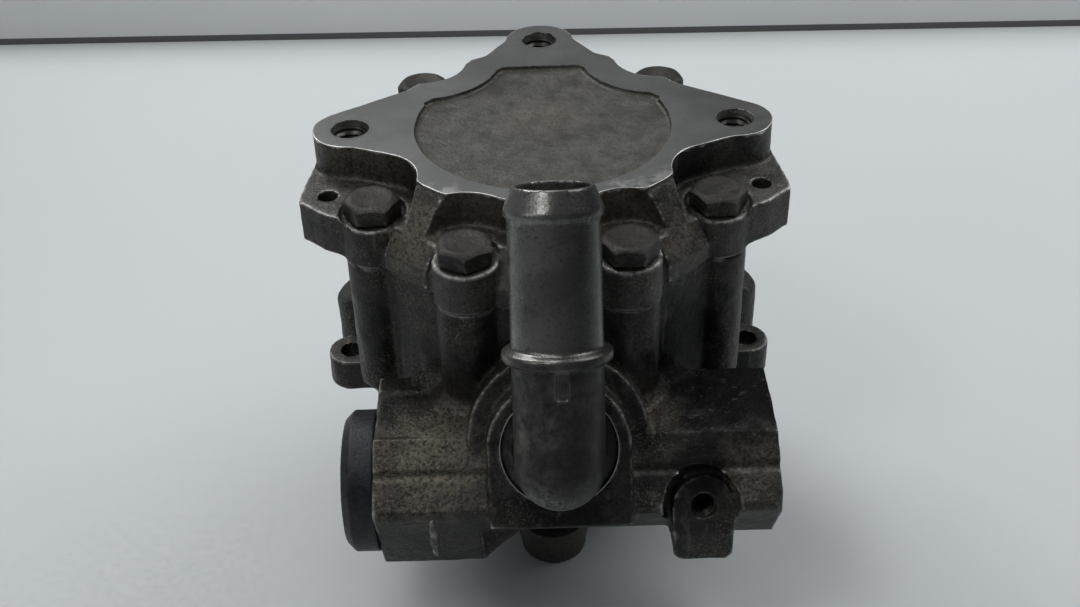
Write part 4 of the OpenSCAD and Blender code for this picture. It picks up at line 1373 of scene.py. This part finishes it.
    def _round_left_lug(self, mesh: Mesh) -> None:
        """Adds a crescent that gives the left lug, flat in the solid, the round end of the right one."""
        first, last = self.lug_end_turns
        section = ((self.lug_rim_r, self.lug_low_z), (self.lug_end_r, self.lug_low_z),
                   (self.lug_end_r, self.top_z), (self.lug_rim_r, self.top_z))
        work = bmesh.new()
        work.from_mesh(mesh)
        loops = []
        for step in range(self.lug_end_steps + 1):
            turn = math.radians(first + (last - first) * step / self.lug_end_steps)
            spots = [Vector((radius * math.cos(turn) - self.lug_reach, radius * math.sin(turn), height))
                     for radius, height in section]
            loops.append([work.verts.new(spot * MM) for spot in spots])
        faces = [work.faces.new(loops[0]), work.faces.new(loops[-1][::-1]), *MeshTools.bridge(work, loops)]
        bmesh.ops.recalc_face_normals(work, faces=faces)
        work.to_mesh(mesh)
        work.free()

    def _dress(self, mesh: Mesh) -> None:
        """Gives the plateau's faces the milled finish and the recess its own."""
        count = len(mesh.polygons)
        centres, normals = np.empty(count * 3, np.float32), np.empty(count * 3, np.float32)
        mesh.polygons.foreach_get("center", centres)
        mesh.polygons.foreach_get("normal", normals)
        centres = centres.reshape(-1, 3) / MM
        flat = normals.reshape(-1, 3)[:, 2] > self.level_up
        high = centres[:, 2] > self.top_z - self.top_margin
        inside = np.hypot(centres[:, 0], centres[:, 1]) < self.recess_r
        sunk = ~high & inside & (centres[:, 2] > self.top_z - self.recess_depth - self.recess_margin)
        face = np.where(sunk, CoverFace.SUNK, CoverFace.CAST)
        face = np.where(flat & high, CoverFace.MILLED, face)
        mesh.polygons.foreach_set("material_index", face.astype(np.int32))
        mesh.update()

    def tapped_holes(self) -> list[TappedHole]:
        """Returns the tapped holes of the three lugs, a hair proud of the plateau."""
        return [TappedHole((x, y, z + HOLE_PROUD_MM), UP, radius=self.lug_hole_r - THREAD_CLEAR_MM,
                           mouth=self.lug_mouth_r + self.mouth_over, depth=self.lug_depth,
                           pitch=self.lug_pitch) for x, y, z in self.lugs()]


@dataclass
class PumpHousing:
    """Cast body: barrel with bolt columns, valve block, suction port, small boss and side lugs."""

    valve_y: float = -45.0
    valve_z: float = 40.5
    block_left: float = -34.3
    block_right: float = 43.0
    port_face: Triple = (1.2, -56.5, 57.4)
    port_out: Triple = (0.0, -0.9135, 0.4067)
    boss_face: Triple = (28.4, -58.5, 43.8)
    side_lug: Triple = (43.0, -8.3, 45.2)
    seam_low: Triple = (-23.6, -54.6, 28.6)
    seam_top: Triple = (-23.3, -61.0, 44.6)
    seam_out: Triple = (0.0, -0.93, -0.37)
    seam_w: float = 0.75
    seam_proud: float = 0.7
    seam_rows: int = 40
    seam_around: int = 12
    seam_ends: Band = (0.02, 0.98)
    seam_fullness: float = 0.4
    seam_lumps_per_mm: float = 0.45
    seam_w_change: float = 0.5
    seam_proud_change: float = 0.9
    seam_wander: float = 0.3
    seam_wander_per_mm: float = 0.3
    seam_wander_seed: float = 7.0
    seam_angle: float = 60.0
    port_edge_r: float = 11.05
    port_edge_w: float = 0.14
    port_edge_steps: int = 128

    def build(self, nodes: Nodes, skin: Finish) -> Piece:
        """Builds the housing.

        Args:
            nodes: The frame's node objects by name.
            skin: Finish of the cast faces.

        Returns:
            The piece.
        """
        left = (self.block_left, self.valve_y, self.valve_z)
        right = (self.block_right, self.valve_y, self.valve_z)
        zones = [CrispZone(left, RIGHT, radius=13.0, low=-1.0, high=60.0),
                 CrispZone(right, RIGHT, radius=9.0, low=-14.0, high=1.0),
                 CrispZone(self.port_face, self.port_out, radius=12.4, low=-12.0, high=1.5),
                 CrispZone(self.boss_face, self.port_out, radius=3.2, low=-10.0, high=1.5),
                 CrispZone(CENTRE, UP, radius=35.0, low=12.0, high=80.0)]
        x, y, z = self.side_lug
        zones += [CrispZone((side * x, y, z), UP, radius=3.0, low=-9.0, high=1.0) for side in (-1, 1)]
        casting = Casting("pump_housing", "cast_housing", Body.HOUSING, Slot.CAST_HOUSING, voxel=0.5,
                          rounding=7, lump_mm=0.14, budget=190_000, crisp=zones)
        return casting.build(nodes, skin)

    def build_seam(self, skin: Finish) -> Piece:
        """Builds the lumpy flash that the mould left on the block's lower front.

        Args:
            skin: Finish of the cast faces.

        Returns:
            The piece.
        """
        low, top, out = Vector(self.seam_low), Vector(self.seam_top), Vector(self.seam_out)
        turns = [2 * math.pi * step / self.seam_around for step in range(self.seam_around)]
        work = bmesh.new()
        loops = []
        for row in range(self.seam_rows + 1):
            share = row / self.seam_rows
            middle = low.lerp(top, share)
            first, last = self.seam_ends
            swell = math.sin(math.pi * min(max(share, first), last)) ** self.seam_fullness
            lump = noise.noise(Vector((0.0, 0.0, self.seam_lumps_per_mm * middle.z)))
            width = self.seam_w * swell * (1 + self.seam_w_change * lump)
            proud = self.seam_proud * swell * (1 + self.seam_proud_change * lump)
            seed = Vector((self.seam_wander_seed, 0.0, self.seam_wander_per_mm * middle.z))
            middle.x += self.seam_wander * noise.noise(seed)
            spots = [middle + width * math.cos(turn) * Vector(RIGHT) + out * (proud * math.sin(turn))
                     for turn in turns]
            loops.append([work.verts.new(spot * MM) for spot in spots])
        MeshTools.bridge(work, loops)
        work.faces.new(loops[0])
        work.faces.new(loops[-1][::-1])
        bmesh.ops.recalc_face_normals(work, faces=work.faces)
        mesh = MeshTools.from_work(work, "casting_seam")
        MeshTools.store_wear(mesh)
        MeshTools.soften(mesh, self.seam_angle)
        return MeshTools.piece(mesh, "casting_seam", Body.HOUSING, Slot.CAST_HOUSING, skin)

    def build_port_edge(self, finish: Finish) -> Piece:
        """Builds the thin rubbed edge around the suction port's mouth.

        Args:
            finish: Finish of the edge.

        Returns:
            The piece.
        """
        count = self.port_edge_steps
        turn = MeshTools.aimed(self.port_out)
        angles = [2 * math.pi * step / count for step in range(count)]
        outs = [turn @ Vector((math.cos(angle), math.sin(angle), 0)) for angle in angles]
        path = [Vector(self.port_face) + self.port_edge_r * out for out in outs]
        mesh = MeshTools.closed_tube("port_edge", path, outs, turn @ Vector(UP), [self.port_edge_w] * count)
        return MeshTools.piece(mesh, "port_edge", Body.HOUSING, Slot.CAST_HOUSING, finish)

    def tapped_holes(self) -> list[TappedHole]:
        """Returns the tapped holes of the outlet port and the small boss."""
        outlet = (self.block_right + HOLE_PROUD_MM, self.valve_y, self.valve_z)
        boss = tuple(spot + HOLE_PROUD_MM * way for spot, way in zip(self.boss_face, self.port_out))
        return [TappedHole(outlet, RIGHT, radius=7.2, mouth=8.1, depth=12.8, pitch=1.5),
                TappedHole(boss, self.port_out, radius=2.47, mouth=2.75, depth=8.8, pitch=0.9)]


@dataclass
class SuctionElbow:
    """Suction elbow: a cast right-angle pipe with a hose collar and a turned hose end."""

    elbow: Triple = (1.2, -64.36, 60.90)
    pipe_way: Triple = (0.0, 0.4067, 0.9135)
    collar_at: float = 20.8
    pipe_l: float = 50.3
    bevel_l: float = 4.0
    bore_r: float = 6.5
    bead_proud: float = 0.6
    bead_l: float = 1.3
    bead_slope: float = 0.2
    bore_margin: float = 0.4

    def build(self, nodes: Nodes, finish: Finish) -> Piece:
        """Builds the elbow.

        Args:
            nodes: The frame's node objects by name.
            finish: Finish of the elbow.

        Returns:
            The piece.
        """
        casting = Casting("suction_pipe", "suction_elbow", Body.HOUSING, Slot.PIPE_ALLOY, voxel=0.33,
                          rounding=3, lump_mm=0.03, budget=120_000)
        made = casting.build(nodes, finish)
        self._raise_bead(made.data)
        return made

    def _raise_bead(self, mesh: Mesh) -> None:
        """Raises the lip under the bevelled hose end."""
        points = MeshTools.points(mesh)
        axis = np.array(self.pipe_way)
        offset = points - np.array(self.elbow)
        height = offset @ axis
        outward = offset - height[:, None] * axis
        reach = np.linalg.norm(outward, axis=1)
        base = self.pipe_l - self.bevel_l
        foot = base - self.bead_l
        stops = [foot, foot + self.bead_slope * self.bead_l, base, self.pipe_l]
        rise = np.interp(height, stops, [0.0, self.bead_proud, self.bead_proud, 0.0])
        rise[reach < self.bore_r + self.bore_margin] = 0.0
        MeshTools.move(mesh, points + outward * (rise / np.maximum(reach, TINY))[:, None])


@dataclass
class SmallForgings:
    """The screw plug of the valve bore and the three-armed pulley hub."""

    hub_holes: tuple[float, ...] = (-90.0, 30.0, 150.0)
    hub_circle_r: float = 23.5
    hub_hole_r: float = 3.4
    mouth_over: float = 0.4
    depth_under: float = 0.1
    hub_t: float = 8.0
    hub_pitch: float = 1.25

    def build_plug(self, nodes: Nodes, finish: Finish) -> Piece:
        """Builds the plug."""
        casting = Casting("valve_plug", "screw_plug", Body.HOUSING, Slot.DARK_PLUG, voxel=0.28, rounding=2,
                          lump_mm=0.02, budget=60_000)
        return casting.build(nodes, finish)

    def build_hub(self, nodes: Nodes, finish: Finish) -> Piece:
        """Builds the hub, crisp at its bore and its foot."""
        zones = [CrispZone(CENTRE, UP, radius=9.0, low=-1.0, high=14.0),
                 CrispZone(CENTRE, UP, radius=40.0, low=-1.0, high=1.2)]
        casting = Casting("drive_hub", "pulley_hub", Body.ROTOR, Slot.HUB_STEEL, voxel=0.36, rounding=4,
                          lump_mm=0.05, budget=80_000, crisp=zones)
        return casting.build(nodes, finish)

    def tapped_holes(self) -> list[TappedHole]:
        """Returns the pulley holes, open at the hub's lower face."""
        ways = [math.radians(angle) for angle in self.hub_holes]
        return [TappedHole((self.hub_circle_r * math.cos(way), self.hub_circle_r * math.sin(way), 0.0), DOWN,
                           radius=self.hub_hole_r - THREAD_CLEAR_MM, mouth=self.hub_hole_r + self.mouth_over,
                           depth=self.hub_t - self.depth_under, pitch=self.hub_pitch, body=Body.ROTOR)
                for way in ways]


@dataclass(frozen=True)
class CoilSpring:
    """Coil spring of the valve between the two bodies it stands on, which are only named in the log."""

    node: str
    name: str
    fixed: Body
    moving: Body
    sharp_angle: float = 40.0

    def build(self, nodes: Nodes, finish: Finish) -> Piece:
        """Builds the spring along X, its left end at the fixed body and its right end at the moving one, as a
        plain copy attached to neither.

        Args:
            nodes: The frame's node objects by name.
            finish: Finish of the wire.

        Returns:
            The piece.
        """
        mesh = MeshTools.merged_copy(nodes[self.node])
        mesh.name = self.name
        mesh.materials.append(finish)
        MeshTools.soften(mesh, self.sharp_angle)
        made = bpy.data.objects.new(self.name, mesh)
        bpy.context.scene.collection.objects.link(made)
        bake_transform(made)
        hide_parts(self.node)
        LOG.info("%s: %d faces, shortens from %s to %s", self.name, len(mesh.polygons), self.fixed.value,
                 self.moving.value)
        return made


@dataclass(frozen=True)
class Lamp:
    """One square lamp: its place, what it looks at, its edge in millimetres and its power in watts."""

    name: str
    at: Triple
    aim: Triple
    size: float
    watts: float

    def hang(self) -> None:
        """Hangs the lamp in the scene."""
        data = bpy.data.lights.new(self.name, "AREA")
        data.size = self.size * MM
        data.energy = self.watts
        lamp = bpy.data.objects.new(self.name, data)
        turn = (Vector(self.aim) - Vector(self.at)).to_track_quat("-Z", "Y").to_matrix().to_4x4()
        lamp.matrix_world = Matrix.Translation(Vector(self.at) * MM) @ turn
        bpy.context.scene.collection.objects.link(lamp)


@dataclass
class Studio:
    """Camera at the photograph's viewing angle, pale floor and wall, and soft light."""

    camera_at: Triple = (-1.59, -247.3, 229.6)
    pitch: float = 36.0
    roll: float = 1.7
    lens: float = 46.0
    sensor: float = 36.0
    nearest: float = 0.01
    wall_left: Band = (-1500.0, 287.0)
    wall_right: Band = (1500.0, 203.0)
    wall_h: float = 45.0
    shadow_strip_h: float = 2.5
    floor_z: float = -0.08
    floor_front: float = -1200.0
    sky: Colour = (0.93, 0.96, 1.0)
    sky_strength: float = 0.11
    lamps: tuple[Lamp, ...] = (
        Lamp("key", (-240, 300, 430), (0, 20, 60), 240, 1.25),
        Lamp("overhead", (-170, -190, 450), (-10, -40, 70), 110, 0.30),
        Lamp("top", (-50, 90, 560), (-5, -20, 90), 120, 0.30),
        Lamp("back", (370, 215, 470), (320, 180, 0), 420, 1.85),
        Lamp("sheen", (-40, 430, 410), (0, 0, 95), 300, 0.16),
        Lamp("strip", (-330, -210, 300), (0, -50, 80), 130, 0.12))

    def build(self) -> None:
        """Builds the camera, the stage and the lights."""
        self._camera()
        self._stage()
        for lamp in self.lamps:
            lamp.hang()
        world = bpy.data.worlds.new("sky")
        world.use_nodes = True
        background = world.node_tree.nodes["Background"]
        background.inputs["Color"].default_value = (*self.sky, 1.0)
        background.inputs["Strength"].default_value = self.sky_strength
        bpy.context.scene.world = world
        bpy.context.scene.view_settings.view_transform = "Standard"

    def _camera(self) -> None:
        """Puts the camera where the photograph was taken."""
        data = bpy.data.cameras.new("camera")
        data.lens = self.lens
        data.sensor_width = self.sensor
        data.clip_start = self.nearest
        camera = bpy.data.objects.new("camera", data)
        pitch, roll = math.radians(self.pitch), math.radians(self.roll)
        ahead = Vector((0, math.cos(pitch), -math.sin(pitch)))
        level_up = Vector((0, math.sin(pitch), math.cos(pitch)))
        right = Vector(RIGHT) * math.cos(roll) - level_up * math.sin(roll)
        up = Vector(RIGHT) * math.sin(roll) + level_up * math.cos(roll)
        turn = Matrix((right, up, -ahead)).transposed().to_4x4()
        camera.matrix_world = Matrix.Translation(Vector(self.camera_at) * MM) @ turn
        bpy.context.scene.collection.objects.link(camera)
        bpy.context.scene.camera = camera

    def _stage(self) -> None:
        """Lays the pale floor, a dark strip of painted shadow where it meets the wall, and stands the wall
        behind it.
        """
        ends = (self.wall_left, self.wall_right)
        front = [(x, self.floor_front, self.floor_z) for x, y in ends]
        edge, lip, rim = ([(x, y, z) for x, y in ends] for z in (self.floor_z, self.shadow_strip_h, self.wall_h))
        floor = self._board("floor", front + edge[::-1],
                            PalePaint("floor_board", (0.60, 0.635, 0.64), (0.57, 0.605, 0.615)))
        # The dark strip is painted shadow along the foot of the wall.
        gap = self._board("gap", edge + lip[::-1],
                          PalePaint("painted_gap_shadow", (0.12, 0.125, 0.13), (0.09, 0.095, 0.10)))
        wall = self._board("wall", lip + rim[::-1],
                           PalePaint("wall_board", (0.78, 0.795, 0.815), (0.73, 0.75, 0.775)))

    def _board(self, name: str, corners: list[Triple], paint: PalePaint) -> Piece:
        """Returns a flat board with a paint."""
        mesh = bpy.data.meshes.new(name)
        mesh.from_pydata([Vector(corner) * MM for corner in corners], [], [(0, 1, 2, 3)])
        mesh.materials.append(paint.make())
        board = bpy.data.objects.new(name, mesh)
        bpy.context.scene.collection.objects.link(board)
        return board


def dress_solids(frame: dict[str, Any], finishes: dict[Slot, Finish]) -> None:
    """Gives every solid of the frame the finish of its slot.

    Args:
        frame: The loaded frame.
        finishes: Finish of each slot.
    """
    slots = {part["node"]: Slot(part["material_slot"]) for part in frame["record"]["subparts"]}
    for name, node in frame["nodes"].items():
        node.data.materials.clear()
        node.data.materials.append(finishes[slots[name]])


def slot_finishes(elbow: SuctionElbow) -> dict[Slot, Finish]:
    """Returns the finish of each slot.

    Args:
        elbow: The elbow, whose finish changes at its collar.

    Returns:
        Materials by slot.
    """
    housing = CastSkin(
        "cast_housing_skin",
        # Painted shadow: the first two oily patches darken the block's right top where the cover shades it,
        # and the last one paints a dark crescent of shade above the small boss.
        oily=(Patch((38.0, -38.0, 55.0), 20.0, 1.0), Patch((26.0, -31.0, 62.0), 17.0, 0.85),
              Patch((1.2, -58.0, 46.0), 13.0, 0.7), Patch((-14.0, -38.0, 62.0), 10.0, 0.6),
              Patch((28.4, -56.0, 51.0), 8.6, 0.85)),
        dusty=(Patch((-24.0, -54.0, 52.0), 14.0, 0.75), Patch((-22.0, -46.0, 56.0), 11.0, 0.75),
               Patch((37.0, -55.0, 50.0), 9.0, 0.45), Patch((20.0, -43.0, 56.0), 7.0, 0.5)))
    cover = CastSkin(
        "cast_cover_skin", dark=(0.040, 0.039, 0.036), light=(0.100, 0.098, 0.091), oil_share=0.55,
        rubbed=(0.66, 0.66, 0.64), edge_band=(0.05, 0.20),
        # The second oily patch is painted shade on the left ear's front face.
        oily=(Patch((30.0, -16.0, 90.0), 9.0, 0.6), Patch((-46.0, -25.0, 83.0), 9.0, 0.5)),
        dusty=(Patch((-26.0, -28.0, 87.0), 10.0, 0.85), Patch((-14.0, -27.0, 91.0), 8.0, 0.6),
               # This dusty patch is painted light that brightens the shaded wall under the left lug.
               Patch((-34.0, -9.0, 92.0), 11.0, 0.6),
               Patch((14.0, -27.0, 91.0), 8.0, 0.6), Patch((24.0, -29.0, 86.0), 8.0, 0.5)))
    pipe = ElbowAlloy("elbow_alloy", elbow.elbow, elbow.pipe_way, elbow.collar_at,
                      # The elbow's patch on the bend's lower left is a painted highlight.
                      bend_highlight=Patch((-0.5, -69.0, 54.5), 9.0, 0.7))
    plug = OxidisedSteel("plug_black", dark=(0.013, 0.0145, 0.017), light=(0.042, 0.045, 0.050),
                         dust=(0.09, 0.088, 0.08), dust_share=0.25, rough=0.46)
    hub = OxidisedSteel("hub_oxide", dark=(0.045, 0.043, 0.038), light=(0.12, 0.115, 0.105))
    bright = EvenFinish("bright_steel", (0.42, 0.42, 0.42), (0.58, 0.58, 0.585), 0.24)
    sintered = EvenFinish("sintered_plate", (0.24, 0.24, 0.245), (0.36, 0.36, 0.365), 0.42)
    brass = EvenFinish("bearing_brass", (0.46, 0.33, 0.14), (0.62, 0.47, 0.22), 0.32)
    looks = {Slot.CAST_HOUSING: housing, Slot.CAST_COVER: cover, Slot.PIPE_ALLOY: pipe, Slot.DARK_PLUG: plug,
             Slot.BOLT_STEEL: OxidisedSteel("bolt_oxide"), Slot.HUB_STEEL: hub, Slot.BRIGHT_STEEL: bright,
             Slot.SINTERED_PLATE: sintered, Slot.BEARING_BRASS: brass,
             Slot.SEAL_RUBBER: SealRubber("seal_rubber")}
    return {slot: look.make() for slot, look in looks.items()}


def main() -> None:
    """Builds the scene in order and reports each piece."""
    logging.basicConfig(level=logging.INFO, format="%(name)s %(message)s")
    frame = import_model()
    nodes = frame["nodes"]
    Studio().build()

    elbow = SuctionElbow()
    finishes = slot_finishes(elbow)
    dress_solids(frame, finishes)
    seam_skin = CastSkin("seam_skin", dark=(0.06, 0.058, 0.053), light=(0.16, 0.155, 0.142), oil_share=0.2)
    recess_skin = CastSkin(
        "recess_skin", dark=(0.054, 0.054, 0.050), light=(0.108, 0.106, 0.096), oil=(0.034, 0.032, 0.026),
        oil_share=0.55, grit_share=0.5, speck_share=0.16, streak_share=0.0, grain_mm=0.10, metal=0.55,
        dusty=(Patch((0.0, 4.0, 94.0), 12.0, 0.3),))
    # The milled plateau's rubbed spots are also painted highlights.
    milled = MilledFace("milled_plateau", rubbed=(
        Patch((-20.0, -27.5, 95.0), 6.0, 0.5), Patch((17.0, -29.0, 95.0), 8.0, 0.55),
        Patch((24.0, -23.0, 95.0), 6.0, 0.4)))
    edge_skin = EvenFinish("rubbed_edge", (0.24, 0.24, 0.23), (0.62, 0.62, 0.60), 0.34, 0.8)
    # Bright finish of the plateau's front edge, a painted glint line.
    glint_rim_skin = EvenFinish("rubbed_glint_rim", (0.40, 0.40, 0.39), (0.80, 0.80, 0.78), 0.30, 0.8)
    cut = EvenFinish("thread_cut", (0.035, 0.034, 0.032), (0.10, 0.098, 0.092), 0.36, 0.7).make()

    housing, cover, small, threads = PumpHousing(), RearCover(), SmallForgings(), Threads()
    housing.build(nodes, finishes[Slot.CAST_HOUSING])
    housing.build_seam(seam_skin.make())
    housing.build_port_edge(edge_skin.make())
    plate = cover.build(nodes, finishes[Slot.CAST_COVER], milled.make(), recess_skin.make())
    cover.build_glint_edge(plate, glint_rim_skin.make())
    elbow.build(nodes, finishes[Slot.PIPE_ALLOY])
    small.build_plug(nodes, finishes[Slot.DARK_PLUG])
    small.build_hub(nodes, finishes[Slot.HUB_STEEL])
    CoverBolts().build(finishes[Slot.BOLT_STEEL])
    bright = finishes[Slot.BRIGHT_STEEL]
    CoilSpring("flow_valve_spring", "valve_spring", Body.HOUSING, Body.SPOOL).build(nodes, bright)
    CoilSpring("relief_spring", "relief_coil", Body.SPOOL, Body.RELIEF).build(nodes, bright)
    threads.build("housing_threads", cover.tapped_holes() + housing.tapped_holes(), Slot.CAST_HOUSING, cut)
    threads.build("hub_threads", small.tapped_holes(), Slot.HUB_STEEL, cut)


if __name__ == "__main__":
    main()
